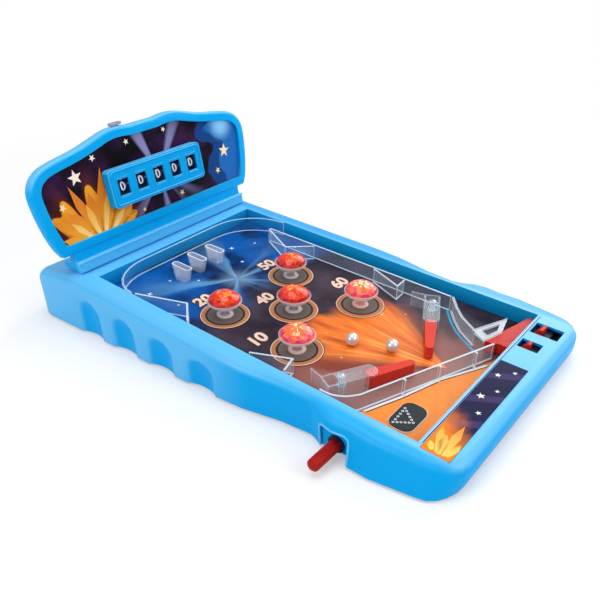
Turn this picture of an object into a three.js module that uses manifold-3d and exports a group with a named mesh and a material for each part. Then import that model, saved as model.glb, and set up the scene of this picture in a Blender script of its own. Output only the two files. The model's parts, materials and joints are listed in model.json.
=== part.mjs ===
import * as THREE from 'three';
import { mergeVertices } from 'three/addons/utils/BufferGeometryUtils.js';
import Module from 'manifold-3d';

// Tabletop pinball game, in millimetres. X runs to the player's right, Y from the player to the
// backboard and Z up. The origin is on the table, under the middle of the case.

// Case
const caseLength = 462;
const gripMargin = 18.5;
const waistMargin = 10;
const earMargin = 24;
const frontMargin = 20;
const wall = 2.5;
const caseFoot = 2;
const shoulderRadius = 7.5;
const earLean = 5;
const earLeanLength = 20;
const backCornerRadius = 26;
const frontCornerRadius = 27;
const backRollLength = 62;
const backRollDrop = 48;
const frontUndercut = 4;
const undercutLength = 16;
const scoopCount = 4;
const scoopPitch = 48.3;
const scoopWidth = 33;
const scoopDepth = 4.2;
const scoopTopShare = 0.2;
const scoopArchShare = 0.34;
const firstScoopY = 137.5;
const pointGap = 0.8;
const scoopRoundness = 0.7;
const scoopStepShares = [-1, -0.87, -0.65, -0.35, 0, 0.35, 0.65, 0.87, 1];
const wallLowShares = [1, 0.76, 0.54, 0.44, 0.36, 0.29, 0.24, 0.2, 0.1];
const cornerDivisions = 5;
const gripEndShare = -0.054;
const waistShare = -0.245;
const earShare = -0.372;
const frontShare = -0.446;

// Slope of the play field, which lies over the flipper buttons
const fieldTilt = 0.0814;
const rimHeight = 15;
const fieldWidth = 198;
const rearDeckDepth = 92.5;
const apronDepth = 35.5;
const trayWall = 2;
const boardThickness = 3;
const boardFrontMargin = 8.5;

// Clearances and the overrun of cuts
const seatGap = 0.3;
const runningGap = 0.4;
const overrun = 1;
const weldDistance = 0.0001;

// Clear rails and guides
const railThickness = 1.6;
const guideThickness = 2.2;
const hoodThickness = 2.4;
const laneRailShare = 0.3965;
const laneRailShares = [0.2126, 0.844];
const archTopShare = 0.988;
const archCornerShares = [[-0.255, 0.868], [0.24, 0.838]];
const upperLeftShares = [[-0.488, 0.857], [-0.396, 0.718], [-0.488, 0.658]];
const upperRightShares = [[0.386, 0.844], [0.286, 0.728], [0.386, 0.665]];
const lowerLeftShares = [[-0.488, 0.452], [-0.412, 0.359], [-0.488, 0.347]];
const lowerRightShares = [[0.386, 0.452], [0.32, 0.35], [0.386, 0.353]];
const drainShares = [[-0.49, 0.246], [-0.487, 0.216], [-0.462, 0.1886], [-0.422, 0.169], [0.182, 0.031]];
const drainRibShares = [0.3, 0.56, 0.84];
const drainRibLength = 3.4;
const launchGuideShares = [[0.3965, 0.2076], [0.33, 0.176], [0.275, 0.1437], [0.2146, 0.0898]];
const launchHoodShares = [[0.215, 0.098], [0.1793, 0.0569], [0.2854, 0.0389], [0.3914, 0.0539]];
const hoodHoleShare = 0.55;
const laneGuideShares = [[-0.184, 0.874], [-0.071, 0.883], [0.044, 0.88]];
const laneGuideLength = 24;
const laneGuideWidth = 8;
const laneGuideTaperShare = 0.62;

// Flippers, their guards and their buttons
const flipperShares = [[-0.27, 0.1976], [0.174, 0.1976]];
const flipperReach = 37;
const flipperRootRadius = 5;
const flipperTipRadius = 3.4;
const flipperHeadroom = 0.8;
const flipperLift = 0.8;
const flipperRestAngle = 0.49;
const flipperSwing = 0.84;
const shaftRadius = 2.5;
const crankReach = 12;
const crankTipRadius = 2;
const crankThickness = 6;
const guardWidth = 13.8;
const guardRailGap = 8.5;
const guardStart = 6;
const guardWall = 1.4;
const guardPostRadius = 2.8;
const guardPostShare = 0.567;
const guardLegReach = [3, 12];
const buttonRadius = 4.9;
const buttonStandOut = 30;
const buttonDrop = 9.2;
const buttonFloorGap = 0.125;
const buttonRodRadius = 2.5;
const buttonKeyWidth = 15;
const buttonKeyHeight = 7.6;
const buttonKeyLength = 2.6;
const bushRadius = 7;
const bushThickness = 1.6;
const nicheMargin = 13.5;
const nicheWidth = 27;
const nicheHeight = 23;
const nicheCornerRadius = 5;
const springSeatInset = 11.5;
const springRibThickness = 3;
const springRibWidth = 16;
const springWire = 0.5;
const springRadius = 3.9;
const springTurns = 6;

// Launcher
const launcherPlaceShare = 0.1136;
const launcherRailGap = 3.5;
const launcherLift = 1;
const launcherHeadroom = 1.5;
const launcherHubHeight = 5;
const launcherHubRadius = 6.5;
const launcherHubGap = 0.5;
const launcherPinRadius = 2;
const launcherArmShares = [[0, 0.085], [0.16, 0.089], [0.16, -0.12], [0, -0.089]];
const launcherPlateShares = [
  [0.137, 0.089], [0.288, 0.089], [0.288, 0.26], [0.247, 0.301], [0.247, 0.397],
  [1, 0.205], [1, 0.041], [0.863, -0.137], [0.288, -0.137], [0.137, -0.125],
];
const launchGapShare = 0.24;
const windowNear = 4;
const windowInsets = [28.5, 54];
const windowSizes = [[17, 23], [13, 17]];
const finStandOut = 2.4;
const finLength = 8;
const finSide = 3.4;
const torsionTurns = 4;
const torsionWire = 0.45;
const torsionRadius = 5.2;

// Bumpers
const bumperShares = [[-0.275, 0.6545], [0.179, 0.6545], [-0.048, 0.533], [-0.275, 0.4114], [0.179, 0.4114]];
const bumperRadius = 15.3;
const bumperHeight = 22.7;
const bumperWaistShares = [[0, 0.38], [0.06, 0.38], [0.09, 0.26], [0.22, 0.26], [0.3, 0.5], [0.52, 0.9]];
const bumperBoreShares = [[0.52, 0.82], [0.32, 0.4], [0.24, 0.16], [0.1, 0.16], [0.1, 0]];
const capShares = [[0.56, 0], [0.56, 0.86], [0.62, 0.97], [0.68, 1], [0.76, 0.96], [0.9, 0.72], [0.98, 0.36], [1, 0]];
const bumperSides = 14;

// Balls
const ballDiameter = 11;
const ballShares = [[-0.1035, 0.3204], [-0.0345, 0.2305]];

// Apron label and the grille in front of the speaker
const labelRest = 76;
const labelDepth = 22;
const labelThickness = 0.5;
const labelOverlap = 3.5;
const labelMargin = 3;
const grilleShare = [-0.341, 0.0749];
const grilleSize = [30, 19, 1];
const grilleCornerRadius = 7;
const grilleHoleRadius = 0.9;
const grilleHolesPerSide = 5;
const grilleTriangleShares = [[0.2, 0.33], [-0.4, 0.27], [-0.12, -0.33]];
const speakerRadius = 14;
const speakerDepth = 6;
const speakerHoleRadius = 8;

// Backboard
const boardLean = 0.2165;
const backboardSetback = 15;
const backboardDepth = 12;
const backboardRound = 3;
const backboardHeight = 117;
const backboardMargin = 31.5;
const pedestalMargin = 7.5;
const pedestalDepth = 26;
const pedestalHeight = 5;
const neckStep = 2.6;
const backboardCurveShares = [
  [0.115, 0.988], [0.23, 1], [0.33, 0.992], [0.43, 0.962], [0.54, 0.93], [0.65, 0.905], [0.77, 0.884],
  [0.872, 0.856], [0.945, 0.805], [0.99, 0.728], [1, 0.62], [0.976, 0.415], [0.936, 0.249],
  [0.895, 0.166],
];
const backboardNeckShares = [0.1, 0.017];
const borderWidth = 9.5;
const panelRecess = 4.5;
const panelThickness = 1.2;
const recessFloor = 2.5;
const rearCoverThickness = 2;
const rearCoverInset = 4;
const bezelSide = 8.15;
const bezelHeight = 36;
const bezelMiddle = 64;
const bezelFront = 7;
const bezelWall = 2;
const bezelCornerRadius = 4;
const wheelCount = 5;
const wheelPitch = 21.3;
const wheelClearance = 1.2;
const wheelWidth = 11;
const wheelSides = 20;
const windowWidth = 12.5;
const windowHeight = 15;
const axleRadius = 1.5;
const axleOverhang = 3;
const switchX = -27;
const switchLength = 12;
const switchWidth = 5;
const switchHeight = 3;
const switchStem = 7;
const switchTravel = 5;

// Floor of the case, feet, batteries and electronics
const coverThickness = 2;
const footRadius = 7;
const footPlaceShares = [[0.42, 0.43], [-0.42, 0.43], [-0.42, -0.42], [0.42, -0.42]];
const batteryRadius = 7.1;
const batteryLength = 50;
const batteryNub = 1.5;
const batteryBayMiddle = [42, 80];
const bayWall = 1.6;
const batteryGap = 0.6;
const doorThickness = 1.7;
const circuitMiddle = [-45, 70];
const circuitSize = [70, 45, 1.6];
const circuitHeight = 8;
const circuitPostRadius = 2.5;
const circuitPostInset = 4;
const chipShare = 0.3;
const chipHeight = 2;

const fieldFront = -caseLength / 2 + apronDepth;
const fieldLength = caseLength - apronDepth - rearDeckDepth;
const fieldBack = fieldFront + fieldLength;
const backboardY = fieldBack + backboardSetback;
const buttonY = fieldFront + flipperShares[0][1] * fieldLength - crankReach;
const keyReach = (buttonKeyHeight + buttonKeyWidth * Math.sin(fieldTilt)) / 2;
const buttonRoom = Math.max(buttonRadius, springRadius + springWire, keyReach);
const buttonHeight = caseFoot + seatGap + coverThickness + buttonFloorGap + buttonRoom;
const fieldHeight = buttonHeight - buttonY * Math.sin(fieldTilt) + buttonDrop * Math.cos(fieldTilt);
const nicheDepthX = fieldWidth / 2 + nicheMargin;
const buttonReach = nicheDepthX + buttonStandOut;
const deckUnder = rimHeight - wall;
const flipperHeight = rimHeight - hoodThickness - flipperHeadroom - flipperLift;
const launcherHeight = deckUnder - launcherHeadroom - launcherLift;
const finHeight = rimHeight + finStandOut;
const wheelRadius = (bezelFront + backboardDepth) / 2 - wheelClearance;
const bezelWidth = (wheelCount - 1) * wheelPitch + windowWidth + 2 * bezelSide;
const gripWidth = fieldWidth + 2 * gripMargin;
const waistWidth = fieldWidth + 2 * waistMargin;
const earWidth = fieldWidth + 2 * earMargin;
const frontWidth = fieldWidth + 2 * frontMargin;
const backboardWidth = fieldWidth + 2 * backboardMargin;
const pedestalWidth = fieldWidth + 2 * pedestalMargin;
const springSeatX = fieldWidth / 2 - springSeatInset;
const launcherX = fieldWidth * launcherPlaceShare;
const launcherSetback = trayWall + launcherHubRadius + launcherHubGap;
const launcherReach = fieldWidth / 2 - launcherX - launcherRailGap;
const launchGapX = launcherX + launcherReach * launchGapShare;
const [bigWindow, smallWindow] = windowInsets.map((inset, i) => [fieldWidth / 2 - inset, ...windowSizes[i]]);
const labelPlaceX = -fieldWidth / 2 - labelOverlap;
const labelSize = [fieldWidth - labelRest, labelDepth, labelThickness];
const guardSpan = (flipperShares[0][0] - drainShares[1][0]) * fieldWidth - guardRailGap;
const guardLength = guardSpan / Math.cos(flipperRestAngle) - guardStart;
const wasm = await Module();
wasm.setup();

// Places on the field: x from its middle line and y from its front edge, as shares.
const fieldX = (share) => share * fieldWidth;
const fieldY = (share) => fieldFront + share * fieldLength;
const fieldPoint = ([x, y]) => new THREE.Vector2(fieldX(x), fieldY(y));

const field = new THREE.Group();
field.position.set(0, 0, fieldHeight);
field.rotation.x = fieldTilt;
field.updateMatrixWorld();
const backboard = new THREE.Group();
backboard.position.set(0, backboardY, rimHeight);
backboard.rotation.x = -boardLean;
field.add(backboard);
field.updateMatrixWorld(true);
const game = new THREE.Group();
game.add(field);

// Joining and cutting
function solidOf(geometry) {
  const bare = geometry.clone();
  bare.deleteAttribute('normal');
  bare.deleteAttribute('uv');
  const welded = mergeVertices(bare, weldDistance);
  const mesh = new wasm.Mesh({
    numProp: 3,
    vertProperties: new Float32Array(welded.attributes.position.array),
    triVerts: new Uint32Array(welded.index.array),
  });
  return new wasm.Manifold(mesh);
}

function geometryOf(solid) {
  const mesh = solid.getMesh();
  const geometry = new THREE.BufferGeometry();
  geometry.setAttribute('position', new THREE.BufferAttribute(mesh.vertProperties, 3));
  geometry.setIndex(new THREE.BufferAttribute(mesh.triVerts, 1));
  geometry.computeVertexNormals();
  return geometry;
}

function join(...geometries) {
  return geometryOf(geometries.map(solidOf).reduce((whole, piece) => whole.add(piece)));
}

function cut(geometry, ...tools) {
  return geometryOf(tools.map(solidOf).reduce((rest, tool) => rest.subtract(tool), solidOf(geometry)));
}

// Plain shapes, given by their lowest and highest corners or by an outline
function box(low, high) {
  const size = high.map((value, i) => value - low[i]);
  const geometry = new THREE.BoxGeometry(...size);
  return geometry.translate(...low.map((value, i) => value + size[i] / 2));
}

function upright(shape, bottom, top, curveSegments = 6) {
  const geometry = new THREE.ExtrudeGeometry(shape, { depth: top - bottom, bevelEnabled: false, curveSegments });
  return geometry.translate(0, 0, bottom);
}

function post(x, y, radius, bottom, top, sides = 12) {
  const geometry = new THREE.CylinderGeometry(radius, radius, top - bottom, sides);
  return geometry.rotateX(Math.PI / 2).translate(x, y, (bottom + top) / 2);
}

function rodAlongX(fromX, toX, y, z, radius, sides = 14) {
  const geometry = new THREE.CylinderGeometry(radius, radius, toX - fromX, sides);
  return geometry.rotateZ(Math.PI / 2).translate((fromX + toX) / 2, y, z);
}

function shapeOf(points) {
  return new THREE.Shape(points);
}

function roundedRectangle(width, height, radius) {
  const x = width / 2;
  const y = height / 2;
  const shape = new THREE.Shape();
  shape.moveTo(radius - x, -y);
  shape.lineTo(x - radius, -y);
  shape.absarc(x - radius, radius - y, radius, -Math.PI / 2, 0);
  shape.lineTo(x, y - radius);
  shape.absarc(x - radius, y - radius, radius, 0, Math.PI / 2);
  shape.lineTo(radius - x, y);
  shape.absarc(radius - x, y - radius, radius, Math.PI / 2, Math.PI);
  shape.lineTo(-x, radius - y);
  shape.absarc(radius - x, radius - y, radius, Math.PI, Math.PI * 1.5);
  return shape;
}

// The outline of a strip of even thickness along a line of points, with mitred corners
function stripShape(points, thickness) {
  const sides = [[], []];
  points.forEach((point, i) => {
    const before = points[Math.max(i - 1, 0)];
    const after = points[Math.min(i + 1, points.length - 1)];
    const into = point.clone().sub(i > 0 ? before : point.clone().multiplyScalar(2).sub(after)).normalize();
    const out = (i < points.length - 1 ? after.clone().sub(point) : into.clone()).normalize();
    const normal = new THREE.Vector2(-into.y - out.y, into.x + out.x).normalize();
    const stretch = thickness / 2 / Math.max(normal.x * -into.y + normal.y * into.x, 0.3);
    sides[0].push(point.clone().addScaledVector(normal, stretch));
    sides[1].unshift(point.clone().addScaledVector(normal, -stretch));
  });
  return shapeOf([...sides[0], ...sides[1]]);
}

function railWall(points, thickness, top = rimHeight) {
  return upright(stripShape(points, thickness), seatGap, top);
}

// A wire or tube of round section through points, with flat ends
function wireAlong(points, radius, sides, side) {
  const positions = [];
  const index = [];
  points.forEach((point, i) => {
    const ahead = points[Math.min(i + 1, points.length - 1)];
    const tangent = ahead.clone().sub(points[Math.max(i - 1, 0)]).normalize();
    const across = tangent.clone().cross(side).normalize();
    const other = across.clone().cross(tangent).normalize();
    for (let s = 0; s < sides; s += 1) {
      const turn = (s / sides) * Math.PI * 2;
      const place = point.clone().addScaledVector(across, Math.cos(turn) * radius);
      place.addScaledVector(other, Math.sin(turn) * radius);
      positions.push(place.x, place.y, place.z);
    }
  });
  for (let i = 0; i < points.length - 1; i += 1) {
    for (let s = 0; s < sides; s += 1) {
      const a = i * sides + s;
      const b = i * sides + ((s + 1) % sides);
      index.push(a, a + sides, b, b, a + sides, b + sides);
    }
  }
  const last = (points.length - 1) * sides;
  for (let s = 1; s < sides - 1; s += 1) {
    index.push(0, s, s + 1, last, last + s + 1, last + s);
  }
  const geometry = new THREE.BufferGeometry();
  geometry.setAttribute('position', new THREE.BufferAttribute(new Float32Array(positions), 3));
  geometry.setIndex(index);
  geometry.computeVertexNormals();
  return geometry;
}

// Points of a coil about the Z axis from height 0, eight to a turn
const coilSteps = 8;
function coilPoints(radius, turns, height) {
  return Array.from({ length: turns * coilSteps + 1 }, (_, i) => {
    const turn = (i / coilSteps) * Math.PI * 2;
    return new THREE.Vector3(radius * Math.cos(turn), radius * Math.sin(turn), (height * i) / (turns * coilSteps));
  });
}

function reportGap(name, turns, height, wire) {
  const gap = height / turns - 2 * wire;
  console.log(`${name}: least gap between turns ${gap.toFixed(2)}`);
}

// Height of the case's top at a place along its length
function caseTop(y) {
  const plane = fieldHeight + rimHeight / Math.cos(fieldTilt) + y * Math.tan(fieldTilt);
  const roll = THREE.MathUtils.clamp((y - caseLength / 2 + backRollLength) / backRollLength, 0, 1);
  return plane - backRollDrop * (1 - Math.sqrt(1 - roll * roll));
}

// One side of the case's outline, from the back corner to the front corner
function caseSide() {
  const grip = gripWidth / 2;
  const waist = waistWidth / 2;
  const ear = earWidth / 2;
  const front = frontWidth / 2;
  const back = caseLength / 2;
  const gripEnd = gripEndShare * caseLength;
  const waistY = waistShare * caseLength;
  const earY = earShare * caseLength;
  const frontY = frontShare * caseLength;
  const cornerX = grip - backCornerRadius;
  const gripStart = back - backCornerRadius;
  const flare = earY - waistY;
  const at = (x, y) => new THREE.Vector2(x, y);
  const stretches = [
    [new THREE.EllipseCurve(cornerX, gripStart, backCornerRadius, backCornerRadius, Math.PI / 2, 0, true),
      cornerDivisions],
    [new THREE.CubicBezierCurve(at(grip, gripEnd), at(grip, (gripEnd + waistY) / 2),
      at(waist, (gripEnd + waistY) / 2), at(waist, waistY)), 4],
    [new THREE.CubicBezierCurve(at(waist, waistY), at(waist, waistY + flare * 0.16),
      at(ear, waistY + flare * 0.26), at(ear, earY)), 6],
    [new THREE.CubicBezierCurve(at(ear, earY), at(ear, (earY + frontY) / 2),
      at(front, (earY + frontY) / 2), at(front, frontY)), 2],
    [new THREE.CubicBezierCurve(at(front, frontY), at(front, (frontY - back) / 2),
      at(front - frontCornerRadius / 2, -back), at(front - frontCornerRadius, -back)), 5],
  ];
  const points = [at(cornerX, back)];
  for (const [curve, divisions] of stretches) {
    points.push(...curve.getPoints(divisions).slice(1));
    if (points.length === cornerDivisions + 1) {
      points.push(...scoopPlaces(gripStart, gripEnd).map((y) => at(grip, y)), at(grip, gripEnd));
    }
  }
  return points.map((point, i) => {
    const before = i > 0 ? points[i - 1] : point.clone().setX(0);
    const after = i < points.length - 1 ? points[i + 1] : point.clone().setX(0);
    const along = after.clone().sub(before).normalize();
    const normal = i === 0 ? at(0, 1) : i === points.length - 1 ? at(0, -1) : at(-along.y, along.x);
    return { point, normal, aside: besideScoop(point.y) };
  });
}

// Places along the grip where the outline needs a point, close together across each finger scoop
function scoopPlaces(from, to) {
  const places = [];
  for (let i = 0; i < scoopCount; i += 1) {
    const middle = firstScoopY - i * scoopPitch;
    places.push(...scoopStepShares.map((step) => middle - (step * scoopWidth) / 2), middle - scoopPitch / 2);
  }
  return places.filter((y) => y < from - pointGap && y > to + pointGap);
}

// How far a place is from the middle of the nearest scoop, where 1 is the scoop's edge
function besideScoop(y) {
  let nearest = 1;
  for (let i = 0; i < scoopCount; i += 1) {
    nearest = Math.min(nearest, Math.abs(y - firstScoopY + i * scoopPitch) / (scoopWidth / 2));
  }
  return nearest;
}

// Depth of a scoop: straight sides up from the floor, closed at the top by a round arch
function scoopCut(aside, low) {
  const arch = 1 - THREE.MathUtils.clamp((low - scoopTopShare) / scoopArchShare, 0, 1);
  return scoopDepth * Math.max(0, 1 - aside ** 2 - arch ** 2) ** scoopRoundness;
}

// A body between rings of mirrored points, each ring a function of a point of the case's side
function ringBody(rings) {
  const side = caseSide();
  const count = side.length;
  const positions = [];
  const index = [];
  for (const ring of rings) {
    const right = side.map(ring);
    positions.push(...right.flatMap((p) => [p.x, p.y, p.z]));
    positions.push(...right.toReversed().flatMap((p) => [-p.x, p.y, p.z]));
  }
  const around = count * 2;
  for (let level = 0; level < rings.length - 1; level += 1) {
    for (let j = 0; j < around; j += 1) {
      const a = level * around + j;
      const b = level * around + ((j + 1) % around);
      index.push(a, a + around, b, b, a + around, b + around);
    }
  }
  const top = (rings.length - 1) * around;
  for (let i = 0; i < count - 1; i += 1) {
    const left = around - 1 - i;
    index.push(i, i + 1, left, i + 1, left - 1, left);
    index.push(top + i, top + left, top + i + 1, top + i + 1, top + left, top + left - 1);
  }
  const geometry = new THREE.BufferGeometry();
  geometry.setAttribute('position', new THREE.BufferAttribute(new Float32Array(positions), 3));
  geometry.setIndex(index);
  return geometry;
}

// One ring of the case. Low is 1 at the floor and 0 at the shoulder: the finger scoops and the
// undercut of the front fade out upwards, and the sides by the buttons lean in.
function caseRing(inset, low, height) {
  return ({ point, normal, aside }) => {
    const fromFront = point.y + caseLength / 2;
    const nearFront = THREE.MathUtils.clamp(1 - fromFront / undercutLength, 0, 1);
    const nearEar = THREE.MathUtils.smoothstep(waistShare * caseLength - earLeanLength - point.y, 0, earLeanLength);
    const leaning = earLean * (1 - low) * nearEar * (1 - nearFront);
    const drawnIn = inset + scoopCut(aside, low) + leaning;
    const place = point.clone().addScaledVector(normal, -drawnIn);
    return new THREE.Vector3(place.x, place.y + frontUndercut * low ** 2 * nearFront, height(place.y));
  };
}

// The case as a block, drawn in by an inset: straight walls, then a round shoulder to the top
function caseBlock(inset, bottom, deck, shoulder, steps) {
  const top = (y) => caseTop(y) - deck;
  const wallTop = (y) => top(y) - shoulder;
  const partWay = (share) => (y) => bottom + (wallTop(y) - bottom) * share;
  const rings = wallLowShares.map((low) => caseRing(inset, low, partWay(1 - low)));
  for (let i = 0; i <= steps; i += 1) {
    const turn = (i / steps) * (Math.PI / 2);
    const drop = shoulder * (1 - Math.sin(turn));
    rings.push(caseRing(inset + shoulder * (1 - Math.cos(turn)), 0, (y) => top(y) - drop));
  }
  return ringBody(rings);
}

// Moves a shape drawn on the field to its place in the case
const onField = (geometry) => geometry.applyMatrix4(field.matrixWorld);
const onBackboard = (geometry) => geometry.applyMatrix4(backboard.matrix);

// Names, colours and finishes
const finishes = {
  casePlastic: { color: 0x0a9bea, roughness: 0.28, metalness: 0 },
  clearPlastic: { color: 0xdfeef5, roughness: 0.06, metalness: 0, transparent: true, opacity: 0.35 },
  redPlastic: { color: 0xd8261c, roughness: 0.25, metalness: 0 },
  redLens: { color: 0xe8321c, roughness: 0.08, metalness: 0, transparent: true, opacity: 0.8 },
  printedBoard: { color: 0x4a4650, roughness: 0.4, metalness: 0 },
  printedLabel: { color: 0x2c2a6a, roughness: 0.4, metalness: 0 },
  darkPlastic: { color: 0x14254e, roughness: 0.35, metalness: 0 },
  blackPlastic: { color: 0x20242a, roughness: 0.5, metalness: 0 },
  rubber: { color: 0x2b2b2b, roughness: 0.8, metalness: 0 },
  steel: { color: 0xc8cbd0, roughness: 0.2, metalness: 1 },
  circuit: { color: 0x1f6b3a, roughness: 0.5, metalness: 0 },
  greyPlastic: { color: 0x9a9aa2, roughness: 0.4, metalness: 0 },
};

function addPiece(group, name, geometry, finish) {
  const mesh = new THREE.Mesh(geometry, new THREE.MeshStandardMaterial(finishes[finish]));
  mesh.name = name;
  group.add(mesh);
  return mesh;
}

const fieldBox = (low, high) => onField(box(low, high));
const buttonPlace = new THREE.Vector3(0, buttonY, -buttonDrop).applyMatrix4(field.matrixWorld);

// The arched recess in the ear that the button stands in
function nicheBlock(innerX, outerX, grow) {
  const shape = roundedRectangle(nicheWidth + 2 * grow, 2 * (nicheHeight + grow), nicheCornerRadius + grow);
  const geometry = upright(shape, innerX, outerX, 4);
  return geometry.rotateX(Math.PI / 2).rotateZ(Math.PI / 2).translate(0, buttonPlace.y, 0);
}

function windowCut([x, width, length]) {
  const back = fieldFront - windowNear;
  return fieldBox([x, back - length, deckUnder - overrun], [x + width, back, rimHeight + overrun]);
}

function makeCase() {
  const outerBlock = caseBlock(0, caseFoot, 0, shoulderRadius, 4);
  const hollow = caseBlock(wall, caseFoot - overrun, wall, shoulderRadius - wall, 2);
  const half = fieldWidth / 2;
  const trayBlock = fieldBox([-half - trayWall, fieldFront - trayWall, seatGap],
    [half + trayWall, fieldBack + trayWall, rimHeight + overrun]);
  const niches = [];
  const nicheWalls = [];
  for (const sign of [-1, 1]) {
    const outerX = earWidth / 2 + overrun;
    const ends = sign > 0 ? [nicheDepthX, outerX] : [-outerX, -nicheDepthX];
    const wallEnds = sign > 0 ? [nicheDepthX - wall, outerX] : [-outerX, wall - nicheDepthX];
    niches.push(nicheBlock(...ends, 0));
    nicheWalls.push(nicheBlock(...wallEnds, wall));
  }
  const pocket = fieldBox([-half, fieldFront, -boardThickness - overrun], [half, fieldBack, rimHeight + overrun]);
  const launchGap = fieldBox([launchGapX, fieldFront - trayWall - overrun, 0], [half, fieldFront + overrun, deckUnder]);
  const buttonHole = rodAlongX(-earWidth, earWidth, buttonPlace.y, buttonPlace.z, buttonRadius + seatGap);
  const labelPlace = fieldBox([labelPlaceX, fieldFront - labelMargin - labelSize[1],
    rimHeight - labelSize[2] - seatGap],
  [labelPlaceX + labelSize[0], fieldFront - labelMargin, rimHeight + overrun]);
  const cavity = cut(hollow, trayBlock, ...nicheWalls);
  return cut(outerBlock, cavity, pocket, launchGap, ...niches, buttonHole, labelPlace,
    windowCut(bigWindow), windowCut(smallWindow));
}

addPiece(game, 'case_top', makeCase(), 'casePlastic');

// Floor of the case with the battery bay, the spring ribs and the posts of the circuit board
const coverBottom = caseFoot + seatGap;
const coverTop = coverBottom + coverThickness;
const bayInner = [batteryLength + 2 * batteryGap + batteryNub, 4 * batteryRadius + 3 * batteryGap];
const bayTop = coverBottom + doorThickness + 2 * batteryRadius + 2 * batteryGap;

function middleBox([x, y], [width, depth], grow, bottom, top) {
  const w = width / 2 + grow;
  const d = depth / 2 + grow;
  return box([x - w, y - d, bottom], [x + w, y + d, top]);
}

function circuitPosts(radius, bottom, top) {
  const x = circuitSize[0] / 2 - circuitPostInset;
  const y = circuitSize[1] / 2 - circuitPostInset;
  const corners = [[x, y], [-x, y], [-x, -y], [x, -y]];
  return corners.map(([dx, dy]) => post(circuitMiddle[0] + dx, circuitMiddle[1] + dy, radius, bottom, top, 8));
}

function makeCover() {
  const inset = wall + 2 * runningGap;
  const plate = ringBody([
    caseRing(inset, 1, () => coverBottom),
    caseRing(inset, 0.75, () => coverTop),
  ]);
  const bay = middleBox(batteryBayMiddle, bayInner, bayWall, coverBottom, bayTop + bayWall);
  const ribs = [];
  const ribClear = [];
  for (const sign of [-1, 1]) {
    const x = sign * (springSeatX - springRibThickness / 2);
    const ribTop = buttonPlace.z + buttonRodRadius + bayWall;
    ribs.push(box([x - springRibThickness / 2, buttonPlace.y - springRibWidth / 2, coverBottom],
      [x + springRibThickness / 2, buttonPlace.y + springRibWidth / 2, ribTop]));
    ribClear.push(rodAlongX(x - springRibThickness, x + springRibThickness, buttonPlace.y, buttonPlace.z,
      buttonRodRadius + seatGap, 10));
    const outerX = earWidth / 2 + overrun;
    const ends = sign > 0 ? [nicheDepthX - wall, outerX] : [-outerX, wall - nicheDepthX];
    ribClear.push(nicheBlock(...ends, wall + runningGap));
  }
  const posts = circuitPosts(circuitPostRadius, coverBottom, coverTop + circuitHeight);
  const bayHollow = middleBox(batteryBayMiddle, bayInner, 0, coverBottom - overrun, bayTop);
  return cut(join(plate, bay, ...ribs, ...posts), bayHollow, ...ribClear);
}

addPiece(game, 'bottom_cover', makeCover(), 'darkPlastic');
addPiece(game, 'battery_door',
  middleBox(batteryBayMiddle, bayInner, -seatGap, coverBottom, coverBottom + doorThickness), 'darkPlastic');

function batteryShape() {
  const nubRadius = batteryRadius * 0.38;
  const profile = [
    [0, 0], [batteryRadius, 0], [batteryRadius, batteryLength], [nubRadius, batteryLength],
    [nubRadius, batteryLength + batteryNub], [0, batteryLength + batteryNub],
  ];
  return new THREE.LatheGeometry(profile.map(([r, h]) => new THREE.Vector2(r, h)), 14);
}

for (const sign of [-1, 1]) {
  const battery = addPiece(game, `battery_${sign < 0 ? 1 : 2}`, batteryShape(), 'steel');
  battery.rotation.z = (sign * Math.PI) / 2;
  battery.position.set(batteryBayMiddle[0] + (sign * (batteryLength + batteryNub)) / 2,
    batteryBayMiddle[1] + sign * (batteryRadius + batteryGap / 2),
    coverBottom + doorThickness + batteryGap / 2 + batteryRadius);
}

footPlaceShares.forEach(([x, y], i) => {
  const foot = post(x * frontWidth, y * caseLength, footRadius, 0, caseFoot, 16);
  addPiece(game, `foot_${i + 1}`, foot, 'rubber');
});

function makeCircuit() {
  const bottom = coverTop + circuitHeight + seatGap;
  const plate = middleBox(circuitMiddle, circuitSize, 0, bottom, bottom + circuitSize[2]);
  const chip = middleBox(circuitMiddle, circuitSize.map((size) => size * chipShare), 0,
    bottom, bottom + circuitSize[2] + chipHeight);
  return join(plate, chip);
}

addPiece(game, 'circuit_board', makeCircuit(), 'circuit');

// Board of the play field, with the pin that the launcher turns on
const launcherPivot = new THREE.Vector2(launcherX, fieldFront - launcherSetback);
const flipperPivots = flipperShares.map(fieldPoint);
const grillePlace = fieldPoint(grilleShare);

function makeBoard() {
  const half = fieldWidth / 2 + trayWall - seatGap;
  const plate = box([-half, boardFrontMargin - caseLength / 2, -boardThickness],
    [half, fieldBack + trayWall, 0]);
  const pin = post(launcherPivot.x, launcherPivot.y, launcherPinRadius, -boardThickness / 2, deckUnder - seatGap);
  const shaftHoles = flipperPivots.map((pivot) => post(pivot.x, pivot.y, shaftRadius + seatGap,
    -boardThickness - overrun, overrun));
  const soundHole = post(grillePlace.x, grillePlace.y, speakerHoleRadius, -boardThickness - overrun, overrun, 16);
  return cut(join(plate, pin), ...shaftHoles, soundHole);
}

addPiece(field, 'playfield_board', makeBoard(), 'printedBoard');

function makeLabel() {
  const back = fieldFront - labelMargin - seatGap;
  return box([labelPlaceX + seatGap, back - labelSize[1] + 2 * seatGap, rimHeight - labelSize[2]],
    [labelPlaceX + labelSize[0] - seatGap, back, rimHeight]);
}

addPiece(field, 'apron_label', makeLabel(), 'printedLabel');

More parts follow.
